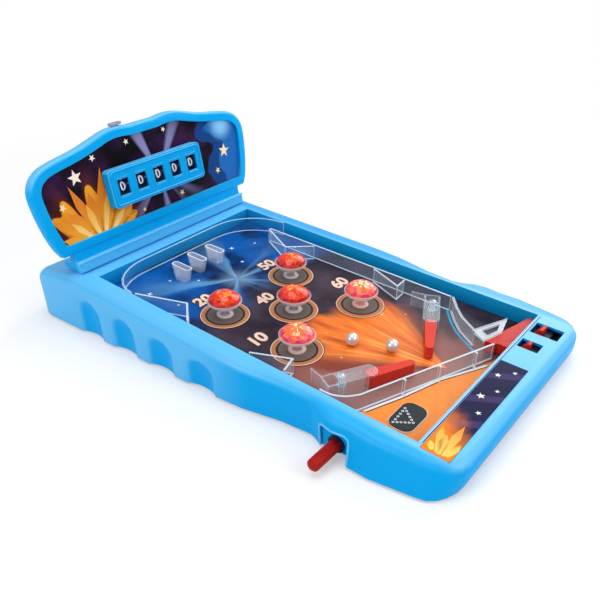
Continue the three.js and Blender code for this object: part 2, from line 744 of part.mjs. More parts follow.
// Grille with a triangle of sound holes, and the speaker under it
function makeGrille() {
  const plate = upright(roundedRectangle(grilleSize[0], grilleSize[1], grilleCornerRadius), 0, grilleSize[2], 3);
  const corners = grilleTriangleShares.map(([x, y]) => new THREE.Vector2(x * grilleSize[0], y * grilleSize[1]));
  const holes = [];
  corners.forEach((corner, side) => {
    const next = corners[(side + 1) % corners.length];
    for (let i = 0; i < grilleHolesPerSide - 1; i += 1) {
      const place = corner.clone().lerp(next, i / (grilleHolesPerSide - 1));
      holes.push(post(place.x, place.y, grilleHoleRadius, -overrun, grilleSize[2] + overrun, 6));
    }
  });
  return cut(plate, ...holes);
}

addPiece(field, 'speaker_grille', makeGrille(), 'blackPlastic').position.set(grillePlace.x, grillePlace.y, seatGap);

function makeSpeaker() {
  const magnet = speakerRadius * 0.55;
  const profile = [[0, -speakerDepth], [magnet, -speakerDepth], [magnet, -speakerDepth / 2],
    [speakerRadius, -speakerDepth / 4], [speakerRadius, 0], [0, 0]];
  const geometry = new THREE.LatheGeometry(profile.map(([r, h]) => new THREE.Vector2(r, h)), 18);
  return geometry.rotateX(Math.PI / 2);
}

addPiece(field, 'speaker', makeSpeaker(), 'steel')
  .position.set(grillePlace.x, grillePlace.y, -boardThickness - seatGap);

// Clear rails and deflectors
function archPoints() {
  const side = fieldWidth / 2 - seatGap - railThickness / 2;
  const high = fieldY(archTopShare);
  const turns = [[Math.PI, Math.PI / 2], [Math.PI / 2, 0]];
  return archCornerShares.flatMap((share, i) => {
    const corner = fieldPoint(share);
    const reach = side - Math.abs(corner.x);
    return new THREE.EllipseCurve(corner.x, corner.y, reach, high - corner.y, ...turns[i], true).getPoints(7);
  });
}

const lanePoints = laneRailShares.map((share) => fieldPoint([laneRailShare, share]));
const simpleRails = {
  arch_rail: archPoints(),
  lane_rail: lanePoints,
  upper_left_deflector: upperLeftShares.map(fieldPoint),
  upper_right_deflector: upperRightShares.map(fieldPoint),
  lower_left_deflector: lowerLeftShares.map(fieldPoint),
  lower_right_deflector: lowerRightShares.map(fieldPoint),
};
for (const [name, points] of Object.entries(simpleRails)) {
  addPiece(field, name, railWall(points, railThickness), 'clearPlastic');
}

// Drain rail: a round turn off the left wall, then a straight slope to the launcher, with ribs
function makeDrainRail() {
  const corners = drainShares.map(fieldPoint);
  const turn = new THREE.SplineCurve(corners.slice(0, 4)).getPoints(9);
  const start = corners[3];
  const end = corners[4];
  const rail = railWall([...turn, end], railThickness);
  const across = end.clone().sub(start).normalize();
  const down = new THREE.Vector2(across.y, -across.x);
  const ribs = drainRibShares.map((share) => {
    const foot = start.clone().lerp(end, share);
    return railWall([foot, foot.clone().addScaledVector(down, drainRibLength)], railThickness);
  });
  return join(rail, ...ribs);
}

addPiece(field, 'drain_rail', makeDrainRail(), 'clearPlastic');

// Launch guide: the wall that leads the ball to the lane, with a low roof over the ball's way
function makeLaunchGuide() {
  const guide = railWall(launchGuideShares.map(fieldPoint), guideThickness);
  const corners = launchHoodShares.map(fieldPoint);
  const roof = shapeOf(corners);
  const middle = corners.reduce((sum, corner) => sum.add(corner), new THREE.Vector2()).divideScalar(corners.length);
  roof.holes.push(new THREE.Path(corners.map((corner) => corner.clone().lerp(middle, 1 - hoodHoleShare))));
  return join(guide, upright(roof, rimHeight - hoodThickness, rimHeight));
}

addPiece(field, 'launch_guide', makeLaunchGuide(), 'clearPlastic');

// Lane guides: narrow open-topped cups between the lanes at the top of the field
function makeLaneGuide() {
  const outline = (shrink) => roundedRectangle(laneGuideWidth - 2 * shrink, laneGuideLength - 2 * shrink,
    (laneGuideWidth - 2 * shrink) / 2 * 0.96);
  const shape = outline(0);
  shape.holes.push(new THREE.Path(outline(guardWall).getPoints(3)));
  const geometry = upright(shape, 0, rimHeight - seatGap, 3);
  const places = geometry.attributes.position;
  for (let i = 0; i < places.count; i += 1) {
    const share = THREE.MathUtils.lerp(laneGuideTaperShare, 1, places.getZ(i) / (rimHeight - seatGap));
    places.setY(i, places.getY(i) * share);
  }
  return geometry;
}

laneGuideShares.forEach((share, i) => {
  const place = fieldPoint(share);
  const guide = addPiece(field, `lane_guide_${i + 1}`, makeLaneGuide(), 'clearPlastic');
  guide.position.set(place.x, place.y, seatGap);
});

// Bumpers: a clear post that flares under a red cap
bumperShares.forEach((share, i) => {
  const place = fieldPoint(share);
  const profile = (shares) => shares.map(([height, radius]) => new THREE.Vector2(radius * bumperRadius,
    height * bumperHeight));
  const neck = [[0, 0], ...bumperWaistShares, ...bumperBoreShares];
  const stand = new THREE.LatheGeometry(profile(neck), bumperSides).rotateX(Math.PI / 2);
  const dome = new THREE.LatheGeometry(profile(capShares), bumperSides).rotateX(Math.PI / 2);
  for (const [name, geometry, finish] of [['post', stand, 'clearPlastic'], ['cap', dome, 'redLens']]) {
    addPiece(field, `bumper_${name}_${i + 1}`, geometry, finish).position.set(place.x, place.y, seatGap);
  }
});

// Flippers: a tapered blade on a shaft, with a crank under the board for the button
function bladeShape() {
  const tip = flipperReach - flipperTipRadius;
  const lean = Math.asin((flipperRootRadius - flipperTipRadius) / tip);
  const shape = new THREE.Shape();
  shape.absarc(0, 0, flipperRootRadius, Math.PI / 2 - lean, Math.PI * 1.5 + lean);
  shape.absarc(tip, 0, flipperTipRadius, -Math.PI / 2 + lean, Math.PI / 2 - lean);
  return shape;
}

function crankShape(angle) {
  const along = new THREE.Vector2(Math.cos(angle), Math.sin(angle));
  const end = along.clone().multiplyScalar(crankReach);
  return stripShape([along.clone().multiplyScalar(-shaftRadius), end.addScaledVector(along, crankTipRadius)],
    2 * crankTipRadius);
}

function makeFlipper(sign) {
  const crankTop = -boardThickness - seatGap;
  const blade = upright(bladeShape(), flipperLift, flipperLift + flipperHeight, 7);
  if (sign > 0) blade.rotateZ(Math.PI + flipperRestAngle);
  if (sign < 0) blade.rotateZ(-flipperRestAngle);
  const shaft = post(0, 0, shaftRadius, crankTop - crankThickness, flipperLift + flipperHeight / 2);
  const crank = upright(crankShape(-Math.PI / 2 + (sign * flipperSwing) / 2), crankTop - crankThickness, crankTop);
  return join(blade, shaft, crank);
}

// Guards: a clear channel behind each flipper, with a roof that reaches over the flipper's root
function makeGuard(sign) {
  const half = (guardWidth - guardWall) / 2;
  const far = guardStart + guardLength;
  const at = (along, across) => new THREE.Vector2(along, across);
  const channel = railWall([at(guardStart, -half), at(far, -half), at(far, half), at(guardStart, half)], guardWall);
  const leg = railWall([at(far, half), at(far + guardLegReach[0], half + guardLegReach[1])], guardWall);
  const roof = new THREE.Shape();
  const roofEnd = guardStart + guardLength * 0.7;
  roof.absarc(guardStart / 2, 0, half + guardWall / 2, Math.PI / 2, Math.PI * 1.5);
  roof.lineTo(roofEnd, -half - guardWall / 2);
  roof.lineTo(roofEnd, half + guardWall / 2);
  const stand = post(guardStart + guardLength * guardPostShare, 0, guardPostRadius, seatGap, rimHeight);
  const whole = join(channel, leg, upright(roof, rimHeight - hoodThickness, rimHeight), stand);
  if (sign > 0) return whole.rotateZ(flipperRestAngle);
  const mirrored = solidOf(whole).mirror([1, 0, 0]);
  return geometryOf(mirrored).rotateZ(-flipperRestAngle);
}

// Buttons: a red rod with a key that keeps it in the case, a bush and a return spring
const crankSide = crankReach * Math.sin(flipperSwing / 2) + crankTipRadius + runningGap;

function makeButton(sign) {
  const innerX = flipperPivots[sign < 0 ? 0 : 1].x + sign * (crankSide + crankTipRadius / 2);
  const keyX = nicheDepthX - wall - seatGap;
  const tipX = buttonReach - buttonRadius * 0.6;
  const ends = (from, to) => (sign > 0 ? [from, to] : [-to, -from]);
  const head = rodAlongX(...ends(keyX - buttonKeyLength, tipX), buttonY, -buttonDrop, buttonRadius, 16);
  const dome = new THREE.SphereGeometry(buttonRadius, 16, 8).rotateZ(Math.PI / 2);
  dome.scale(0.6, 1, 1).translate(sign * tipX, buttonY, -buttonDrop);
  const rod = rodAlongX(...ends(Math.abs(innerX), keyX), buttonY, -buttonDrop, buttonRodRadius, 10);
  const [low, high] = ends(keyX - buttonKeyLength, keyX);
  const key = box([low, buttonY - buttonKeyWidth / 2, -buttonDrop - buttonKeyHeight / 2],
    [high, buttonY + buttonKeyWidth / 2, buttonKeyHeight / 2 - buttonDrop]);
  return join(head, dome, rod, key);
}

function makeBush(sign) {
  const disc = rodAlongX(0, bushThickness, 0, 0, bushRadius, 20);
  const bored = cut(disc, rodAlongX(-overrun, bushThickness + overrun, 0, 0, buttonRadius + seatGap, 16));
  return bored.translate(sign > 0 ? nicheDepthX + seatGap : -nicheDepthX - seatGap - bushThickness,
    buttonPlace.y, buttonPlace.z);
}

const springLength = nicheDepthX - wall - seatGap - buttonKeyLength - springSeatX - 2 * seatGap;

function makeButtonSpring(sign) {
  const points = coilPoints(springRadius, springTurns, springLength - 2 * springWire);
  const wire = wireAlong(points, springWire, 5, new THREE.Vector3(0, 0, 1));
  wire.rotateY(Math.PI / 2);
  const startX = springSeatX + seatGap + springWire;
  const shift = sign > 0 ? startX : -startX - springLength + 2 * springWire;
  return wire.translate(shift, buttonY, -buttonDrop);
}

reportGap('button spring', springTurns, springLength, springWire);
['left', 'right'].forEach((side, i) => {
  const sign = i === 0 ? -1 : 1;
  const pivot = flipperPivots[i];
  addPiece(field, `${side}_flipper`, makeFlipper(sign), 'redPlastic').position.set(pivot.x, pivot.y, 0);
  addPiece(field, `${side}_flipper_guard`, makeGuard(sign), 'clearPlastic').position.set(pivot.x, pivot.y, 0);
  addPiece(field, `${side}_button`, makeButton(sign), 'redPlastic');
  addPiece(field, `${side}_button_spring`, makeButtonSpring(sign), 'steel');
  addPiece(game, `${side}_button_bush`, makeBush(sign), 'darkPlastic');
});

// Launcher: a red lever with a paddle across the lane's foot and two fins for the fingers
function makeLauncher() {
  const top = launcherLift + launcherHeight;
  const scaled = (shares) => shapeOf(shares.map(([x, y]) => new THREE.Vector2(x * launcherReach, y * launcherReach)));
  const hubTop = launcherLift + launcherHubHeight;
  const hub = post(0, 0, launcherHubRadius, launcherLift, hubTop, 16);
  const arm = upright(scaled(launcherArmShares), launcherLift, hubTop);
  const plate = upright(scaled(launcherPlateShares), launcherLift, top);
  const fins = [bigWindow, smallWindow].map(([x, width]) => {
    const low = x + finSide - launcherPivot.x;
    const profile = shapeOf([new THREE.Vector2(-finLength, top - overrun), new THREE.Vector2(-finLength, finHeight),
      new THREE.Vector2(-finLength * 0.7, finHeight), new THREE.Vector2(0, top - overrun)]);
    const fin = upright(profile, low, low + width - 2 * finSide);
    const place = fieldFront - windowNear - seatGap * 5 - launcherPivot.y;
    return fin.rotateY(Math.PI / 2).rotateX(Math.PI / 2).translate(0, place, 0);
  });
  const bore = post(0, 0, launcherPinRadius + seatGap, -overrun, top + overrun);
  return cut(join(hub, arm, plate, ...fins), bore);
}

addPiece(field, 'launcher_lever', makeLauncher(), 'redPlastic').position.set(launcherPivot.x, launcherPivot.y, 0);

function makeTorsionSpring() {
  const bottom = launcherLift + launcherHubHeight + seatGap + torsionWire;
  const height = deckUnder - seatGap - torsionWire - bottom;
  reportGap('launcher spring', torsionTurns, height, torsionWire);
  const wire = wireAlong(coilPoints(torsionRadius, torsionTurns, height), torsionWire, 5, new THREE.Vector3(0, 0, 1));
  return wire.translate(launcherPivot.x, launcherPivot.y, bottom);
}

addPiece(field, 'launcher_spring', makeTorsionSpring(), 'steel');

ballShares.forEach((share, i) => {
  const place = fieldPoint(share);
  const ball = addPiece(field, `ball_${i + 1}`, new THREE.SphereGeometry(ballDiameter / 2, 16, 10), 'steel');
  ball.position.set(place.x, place.y, ballDiameter / 2 + seatGap);
});

// Backboard: a leaning housing with a double hump, a printed panel and the score wheels.
// Its group has x across, y into the board and z up along it.
function backboardPoints(inset) {
  const curve = new THREE.SplineCurve(backboardCurveShares.map(([x, z]) => new THREE.Vector2(
    (x * backboardWidth) / 2, z * backboardHeight)));
  const right = curve.getPoints(30);
  const all = [...right.toReversed(), ...right.map((p) => new THREE.Vector2(-p.x, p.y))];
  const drawnIn = all.map((point, i) => {
    const into = point.clone().sub(all[(i + all.length - 1) % all.length]).normalize();
    const out = all[(i + 1) % all.length].clone().sub(point).normalize();
    const normal = new THREE.Vector2(-into.y - out.y, into.x + out.x).normalize();
    const lean = normal.y * into.x - normal.x * into.y;
    return point.clone().addScaledVector(normal, inset / lean);
  });
  const lowest = all[0].y + inset - weldDistance;
  return drawnIn.filter((point) => point.y > lowest);
}

// Stands a drawing of x and z up in the backboard, between two depths
function standing(shape, front, back, curveSegments) {
  return upright(shape, -back, -front, curveSegments).rotateX(Math.PI / 2);
}

const wheelDepth = wheelRadius + seatGap + bezelWall - bezelFront;
const openingSize = [bezelWidth - 6 * bezelWall, 2 * wheelRadius + 4 * bezelWall];

function scoreOpening(grow, front, back) {
  const x = openingSize[0] / 2 + grow;
  const z = openingSize[1] / 2 + grow;
  return box([-x, front, bezelMiddle - z], [x, back, bezelMiddle + z]);
}

// A housing with rounded front and back edges
function roundedHousing(shape, depth, round) {
  const geometry = new THREE.ExtrudeGeometry(shape, {
    depth: depth - 2 * round,
    bevelSegments: 3,
    bevelSize: round,
    bevelThickness: round,
    bevelOffset: -round,
  });
  return geometry.translate(0, 0, round - depth).rotateX(Math.PI / 2);
}

// The slot that holds the ends of the wheels' axle
function axleSlot() {
  const reach = openingSize[0] / 2 + axleOverhang + seatGap;
  const around = axleRadius + seatGap;
  return box([-reach, wheelDepth - around, bezelMiddle - around], [reach, wheelDepth + around, bezelMiddle + around]);
}

function makeFrame() {
  const neck = pedestalWidth / 2;
  const neckBottom = backboardNeckShares[1] * backboardHeight;
  const slab = roundedHousing(shapeOf(backboardPoints(0)), backboardDepth, backboardRound);
  const neckBlock = box([-neck, backboardRound / 2, neckBottom],
    [neck, backboardDepth, 2 * backboardNeckShares[0] * backboardHeight]);
  const stepBlock = box([-neck, -neckStep, neckBottom], [neck, backboardDepth, backboardNeckShares[0] * backboardHeight]);
  const recess = standing(shapeOf(backboardPoints(borderWidth)), -overrun, panelRecess);
  const hollow = standing(shapeOf(backboardPoints(wall)), panelRecess + recessFloor, backboardDepth + overrun);
  const switchSlot = box([switchX - (switchStem + seatGap) / 2 - seatGap, backboardDepth / 2 - switchWidth / 4
    - seatGap, backboardHeight - 4 * wall],
  [switchX + switchStem / 2 + switchTravel + seatGap, backboardDepth / 2 + switchWidth / 4 + seatGap,
    backboardHeight + overrun]);
  const leaning = cut(join(slab, neckBlock, stepBlock), recess, hollow, scoreOpening(0, 0, backboardDepth),
    axleSlot(), switchSlot);
  const pedestal = box([-neck, backboardY, rimHeight + seatGap],
    [neck, backboardY + pedestalDepth, rimHeight + pedestalHeight]);
  const below = box([-backboardWidth, 0, -backboardHeight],
    [backboardWidth, caseLength, rimHeight + seatGap]);
  return cut(join(onBackboard(leaning), pedestal), below);
}

addPiece(field, 'backboard_frame', makeFrame(), 'casePlastic');
addPiece(backboard, 'backboard_rear_cover', standing(shapeOf(backboardPoints(rearCoverInset)),
  backboardDepth + seatGap, backboardDepth + seatGap + rearCoverThickness), 'casePlastic');

function makePanel() {
  const sheet = standing(shapeOf(backboardPoints(borderWidth + seatGap)), panelRecess - seatGap - panelThickness,
    panelRecess - seatGap);
  return cut(sheet, scoreOpening(0, -overrun, backboardDepth), axleSlot());
}

addPiece(backboard, 'backboard_panel', makePanel(), 'printedLabel');

const wheelX = (i) => (i - (wheelCount - 1) / 2) * wheelPitch;

function makeBezel() {
  const back = panelRecess - 2 * seatGap - panelThickness;
  const block = standing(roundedRectangle(bezelWidth, bezelHeight, bezelCornerRadius), -bezelFront, back, 4);
  block.translate(0, 0, bezelMiddle);
  const inside = scoreOpening(0, bezelWall - bezelFront, backboardDepth);
  const windows = Array.from({ length: wheelCount }, (_, i) => box(
    [wheelX(i) - windowWidth / 2, -bezelFront - overrun, bezelMiddle - windowHeight / 2],
    [wheelX(i) + windowWidth / 2, 0, bezelMiddle + windowHeight / 2]));
  return cut(block, inside, axleSlot(), ...windows);
}

addPiece(backboard, 'score_bezel', makeBezel(), 'casePlastic');

const axleLength = openingSize[0] + 2 * axleOverhang;
addPiece(backboard, 'score_axle', rodAlongX(-axleLength / 2, axleLength / 2, wheelDepth, bezelMiddle, axleRadius, 10),
  'steel');
for (let i = 0; i < wheelCount; i += 1) {
  const disc = rodAlongX(-wheelWidth / 2, wheelWidth / 2, 0, 0, wheelRadius, wheelSides);
  const bore = rodAlongX(-wheelWidth, wheelWidth, 0, 0, axleRadius + seatGap, 10);
  const wheel = addPiece(backboard, `score_wheel_${i + 1}`, cut(disc, bore), 'darkPlastic');
  wheel.position.set(wheelX(i), wheelDepth, bezelMiddle);
}

function makeSwitch() {
  const knob = box([-switchLength / 2, -switchWidth / 2, seatGap], [switchLength / 2, switchWidth / 2, switchHeight]);
  const stem = box([-switchStem / 2, -switchWidth / 4, -2 * wall], [switchStem / 2, switchWidth / 4, switchHeight / 2]);
  return join(knob, stem);
}

addPiece(backboard, 'power_switch', makeSwitch(), 'greyPlastic')
  .position.set(switchX, backboardDepth / 2, backboardHeight + seatGap);

export default game;
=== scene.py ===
import json
import math

import bmesh
import bpy
from mathutils import Matrix, Vector
from mathutils.bvhtree import BVHTree


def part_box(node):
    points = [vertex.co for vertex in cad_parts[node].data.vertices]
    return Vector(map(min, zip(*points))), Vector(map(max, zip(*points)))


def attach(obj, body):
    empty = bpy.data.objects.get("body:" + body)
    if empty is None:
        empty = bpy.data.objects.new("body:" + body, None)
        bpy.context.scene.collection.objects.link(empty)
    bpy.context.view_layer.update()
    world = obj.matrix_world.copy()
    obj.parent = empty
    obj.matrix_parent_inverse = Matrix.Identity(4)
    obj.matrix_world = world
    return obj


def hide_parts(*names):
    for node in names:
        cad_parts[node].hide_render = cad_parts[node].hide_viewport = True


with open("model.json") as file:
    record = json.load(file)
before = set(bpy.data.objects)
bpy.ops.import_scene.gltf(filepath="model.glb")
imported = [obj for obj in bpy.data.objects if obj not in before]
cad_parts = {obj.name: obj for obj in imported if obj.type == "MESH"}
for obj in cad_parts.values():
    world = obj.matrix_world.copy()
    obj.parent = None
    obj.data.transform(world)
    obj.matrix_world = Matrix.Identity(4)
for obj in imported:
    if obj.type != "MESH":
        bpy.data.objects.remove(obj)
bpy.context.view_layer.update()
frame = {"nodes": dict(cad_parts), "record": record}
scene = bpy.context.scene
nodes = frame["nodes"]
bodyOf = {name: body for body, names in frame["record"]["behaviour"]["bodies"].items() for name in names}
slotOf = {part["node"]: part["material_slot"] for part in frame["record"]["subparts"]}
print("frame loaded:", len(nodes), "parts")

# The play field slopes and the backboard leans back on it. Both are drawn in millimetres.
places = {
    "fieldHeight": 30.0, "fieldTilt": 0.0814,
    "backboardY": 153.5, "backboardZ": 15.0, "backboardLean": 0.2165,
}
millimetres = Matrix.Scale(0.001, 4)
fieldMatrix = (millimetres @ Matrix.Translation((0, 0, places["fieldHeight"]))
               @ Matrix.Rotation(places["fieldTilt"], 4, "X"))
backboardMatrix = (fieldMatrix @ Matrix.Translation((0, places["backboardY"], places["backboardZ"]))
                   @ Matrix.Rotation(-places["backboardLean"], 4, "X"))

# Camera and light

view = {
    "place": (-0.4025, -0.3623, 0.3252), "lens": 40.6,
    "azimuth": -51.505, "elevation": 31.765, "roll": 0.883,
}
cameraData = bpy.data.cameras.new("camera")
cameraData.lens = view["lens"]
cameraData.sensor_width = 36
cameraData.clip_start = 0.01
camera = bpy.data.objects.new("camera", cameraData)
camera.matrix_world = (Matrix.Translation(view["place"]) @ Matrix.Rotation(places["fieldTilt"], 4, "X")
                       @ Matrix.Rotation(math.radians(view["azimuth"]), 4, "Z")
                       @ Matrix.Rotation(math.radians(90 - view["elevation"]), 4, "X")
                       @ Matrix.Rotation(math.radians(view["roll"]), 4, "Z"))
scene.collection.objects.link(camera)
scene.camera = camera

lamps = {
    "top": {"place": (-0.1, 0.0, 1.35), "size": 0.9, "power": 8},
    "key": {"place": (-1.05, 0.25, 0.65), "size": 0.5, "power": 4.5},
    "front": {"place": (0.2, -1.25, 0.8), "size": 0.8, "power": 7},
    "back": {"place": (1.25, -0.1, 0.75), "size": 1.1, "power": 12},
}
lampAim = Vector((0, 0, 0.05))
for name, lamp in lamps.items():
    data = bpy.data.lights.new(name, "AREA")
    data.size = lamp["size"]
    data.energy = lamp["power"]
    light = bpy.data.objects.new(name, data)
    light.location = lamp["place"]
    light.rotation_euler = (lampAim - Vector(lamp["place"])).to_track_quat("-Z", "Y").to_euler()
    scene.collection.objects.link(light)
scene.view_settings.view_transform = "Standard"


# Materials

def addNode(tree, kind, inputs=None, **settings):
    made = tree.nodes.new(kind)
    for key, value in settings.items():
        setattr(made, key, value)
    for key, value in (inputs or {}).items():
        if hasattr(value, "links"):
            tree.links.new(value, made.inputs[key])
        else:
            made.inputs[key].default_value = value
    return made


def newMaterial(name, roughness, shine=0.5, metallic=0.0):
    material = bpy.data.materials.new(name)
    material.use_nodes = True
    tree = material.node_tree
    shader = tree.nodes["Principled BSDF"]
    shader.inputs["Roughness"].default_value = roughness
    shader.inputs["Specular IOR Level"].default_value = shine
    shader.inputs["Metallic"].default_value = metallic
    return material, tree, shader


# The sums below find their node tree through the first socket that they are given

def maths(operation, *values):
    inputs = dict(enumerate(values))
    return addNode(values[0].id_data, "ShaderNodeMath", inputs, operation=operation).outputs[0]


def plus(first, second):
    return maths("ADD", first, second)


def minus(first, second):
    return maths("SUBTRACT", first, second)


def times(first, second):
    return maths("MULTIPLY", first, second)


def scaled(value, factor, offset):
    return maths("MULTIPLY_ADD", value, factor, offset)


def polar(side, rise):
    # The angle, counted from the rise towards the side, and the distance
    return maths("ARCTAN2", side, rise), maths("SQRT", plus(times(side, side), times(rise, rise)))


def mixed(amount, first, second):
    inputs = {0: amount}
    for key, value in ((6, first), (7, second)):
        inputs[key] = (*value, 1) if isinstance(value, tuple) else value
    return addNode(amount.id_data, "ShaderNodeMix", inputs, data_type="RGBA").outputs[2]


def ramped(factor, low, high):
    return addNode(factor.id_data, "ShaderNodeMapRange", {"Value": factor, "From Min": low, "From Max": high},
                   interpolation_type="SMOOTHSTEP").outputs[0]


def objectPlace(tree):
    return addNode(tree, "ShaderNodeTexCoord").outputs["Object"]


def axesOf(vector):
    return addNode(vector.id_data, "ShaderNodeSeparateXYZ", {0: vector}).outputs


def facingUp(tree):
    return axesOf(addNode(tree, "ShaderNodeNewGeometry").outputs["Normal"])[2]


def placeIn(tree, matrix):
    # Texture coordinates in the millimetres of the play field or of the backboard
    inverse = matrix.inverted()
    mapping = addNode(tree, "ShaderNodeMapping",
                      {"Vector": objectPlace(tree), "Location": inverse.to_translation(),
                       "Rotation": inverse.to_euler(), "Scale": (1000, 1000, 1000)})
    return mapping.outputs[0], axesOf(mapping.outputs[0])


def noiseAt(place, scale, detail):
    inputs = {"Vector": place, "Scale": scale, "Detail": detail}
    return addNode(place.id_data, "ShaderNodeTexNoise", inputs).outputs[0]


def bumped(shader, height, strength, distance):
    inputs = {"Height": height, "Strength": strength, "Distance": distance}
    bump = addNode(shader.id_data, "ShaderNodeBump", inputs)
    shader.id_data.links.new(bump.outputs[0], shader.inputs["Normal"])


def grain(shader, scale, strength, distance=0.0002, detail=3.0):
    cloud = noiseAt(objectPlace(shader.id_data), scale, detail)
    bumped(shader, cloud, strength, distance)
    return cloud


def painted(shader, colour):
    shader.id_data.links.new(colour, shader.inputs["Base Color"])


def shaded(name, colour, darker, roughness, shine, metallic, scale, bump):
    # A clouded finish: two colours, roughness, shine and metal, then the size and depth of its grain
    material, tree, shader = newMaterial(name, roughness, shine, metallic)
    cloud = grain(shader, scale, bump)
    painted(shader, mixed(cloud, darker, colour))
    wear = addNode(tree, "ShaderNodeMapRange",
                   {"Value": cloud, "To Min": roughness * 0.8, "To Max": roughness * 1.25})
    tree.links.new(wear.outputs[0], shader.inputs["Roughness"])
    return material


leverLook = {"red": (0.56, 0.022, 0.012), "darkRed": (0.46, 0.012, 0.008), "shade": (0.008, 0.012, 0.035),
             "shadeY": (-194.5, -197.0), "shadeZ": (13.0, 11.2)}


def leverMaterial():
    # Red plastic with painted shade under the apron, round the pin
    material, tree, shader = newMaterial("launcherPlastic", 0.34, 0.15)
    cloud = grain(shader, 80.0, 0.04)
    _, (_, y, z) = placeIn(tree, fieldMatrix)
    red = mixed(cloud, leverLook["darkRed"], leverLook["red"])
    # Painted shade: the red turns near black under the apron
    under = times(ramped(y, *leverLook["shadeY"]), ramped(z, *leverLook["shadeZ"]))
    painted(shader, mixed(under, red, leverLook["shade"]))
    return material


# Ranges run from where a painted tone of light or shade starts to where it is full: rims and grip in metres,
# tray and foot in millimetres of the play field and of the backboard
bluePlastic = {
    "colour": (0.0, 0.375, 0.82), "darker": (0.0, 0.35, 0.78), "lit": (0.15, 0.53, 0.87), "litShare": 0.7,
    "shine": 0.34, "leastShine": 0.06, "dullShare": 0.65,
    "nearRim": {"side": (-0.101, -0.109), "along": (-0.04, -0.12), "share": 0.85},
    "farRim": {"side": (0.098, 0.106), "share": 0.7, "colour": (0.02, 0.33, 0.74)},
    "grip": {"side": (0.1145, 0.1170), "along": (-0.070, 0.010), "up": (0.6, 0.2), "share": 0.7},
    "tray": {"x": (100.6, 99.6), "z": (14.9, 13.2), "front": (-197.2, -196.2), "back": (140.2, 139.2),
             "low": (0.0, 0.22, 0.52), "high": (0.01, 0.36, 0.72), "depth": 15.0},
    "foot": {"z": (12.6, 11.4), "y": (6.0, 3.0), "share": 0.5},
}


def blueMaterial(name, case=False):
    # Blue plastic, shinier on what faces up and painted lighter there in the lit colour, a painted highlight.
    # On the case the far rim is painted darker (painted shade), the near rim loses the painted highlight and
    # some shine, a painted sheen lightens the wall round the grips, and the tray walls are painted darker
    # towards the board (painted shade). The backboard is painted lighter at its foot, below the card, a
    # painted highlight.
    blue = bluePlastic
    material, tree, shader = newMaterial(name, 0.34)
    cloud = grain(shader, 60.0, 0.04)
    up = facingUp(tree)
    polish = ramped(up, 0.25, 0.9)
    base = mixed(cloud, blue["darker"], blue["colour"])
    # Painted highlight: what faces up is mixed towards the lit colour
    base = mixed(times(ramped(up, 0.14, 0.7), blue["litShare"]), base, blue["lit"])
    if case:
        near, far, grip, tray = blue["nearRim"], blue["farRim"], blue["grip"], blue["tray"]
        side, along, _ = axesOf(objectPlace(tree))
        # Painted shade: the far rim is darker, the near rim loses the painted highlight, and both rims lose
        # some shine
        nearRim = times(ramped(side, *near["side"]), ramped(along, *near["along"]))
        farRim = ramped(side, *far["side"])
        polish = times(polish, scaled(maths("MAXIMUM", nearRim, farRim), -blue["dullShare"], 1.0))
        base = mixed(times(nearRim, near["share"]), base, blue["colour"])
        base = mixed(times(farRim, far["share"]), base, far["colour"])
        # Painted sheen on the wall round the grips, in the lit colour
        gripSheen = times(ramped(along, *grip["along"]), ramped(up, *grip["up"]))
        gripSheen = times(gripSheen, ramped(maths("ABSOLUTE", side), *grip["side"]))
        base = mixed(times(gripSheen, grip["share"]), base, blue["lit"])
        # Painted shade: the tray walls darken towards the board
        _, (x, y, z) = placeIn(tree, fieldMatrix)
        inWidth = times(ramped(maths("ABSOLUTE", x), *tray["x"]), ramped(z, *tray["z"]))
        inLength = times(ramped(y, *tray["front"]), ramped(y, *tray["back"]))
        wall = mixed(ramped(z, 0.0, tray["depth"]), tray["low"], tray["high"])
        base = mixed(times(inWidth, inLength), base, wall)
    else:
        # Painted highlight: the backboard's foot below the card is mixed towards the lit colour
        foot = blue["foot"]
        _, (_, y, z) = placeIn(tree, backboardMatrix)
        low = times(ramped(z, *foot["z"]), ramped(y, *foot["y"]))
        base = mixed(times(low, foot["share"]), base, blue["lit"])
    tree.links.new(scaled(polish, blue["shine"], blue["leastShine"]), shader.inputs["Specular IOR Level"])
    painted(shader, base)
    return material


def clearMaterial(name, tint, face, rim, top):
    # Clear plastic: its tint, then how solid it looks face on, at a slant and on its flat tops. Its tint
    # turns white at a slant, a painted sheen, and the more solid flat tops are a painted highlight
    material, tree, shader = newMaterial(name, 0.08, 0.4)
    grain(shader, 25.0, 0.03, 0.0004, 1.0)
    weight = addNode(tree, "ShaderNodeLayerWeight", {"Blend": 0.35}).outputs["Facing"]
    edge = maths("POWER", weight, 2.5)
    alpha = scaled(ramped(facingUp(tree), 0.6, 0.98), top, scaled(edge, rim, face))
    tree.links.new(maths("MINIMUM", alpha, 0.95), shader.inputs["Alpha"])
    # Painted sheen: the colour turns white towards the edges
    painted(shader, mixed(edge, tint, (0.93, 0.97, 1.0)))
    return material


def rayFan(angle, waves, low, high):
    # Light beams round a point: a few waves of the angle, each with its count, shift and share, added up
    total = None
    for count, shift, share in waves:
        wave = times(maths("SINE", scaled(angle, count, shift)), share)
        total = wave if total is None else plus(total, wave)
    return ramped(total, low, high)


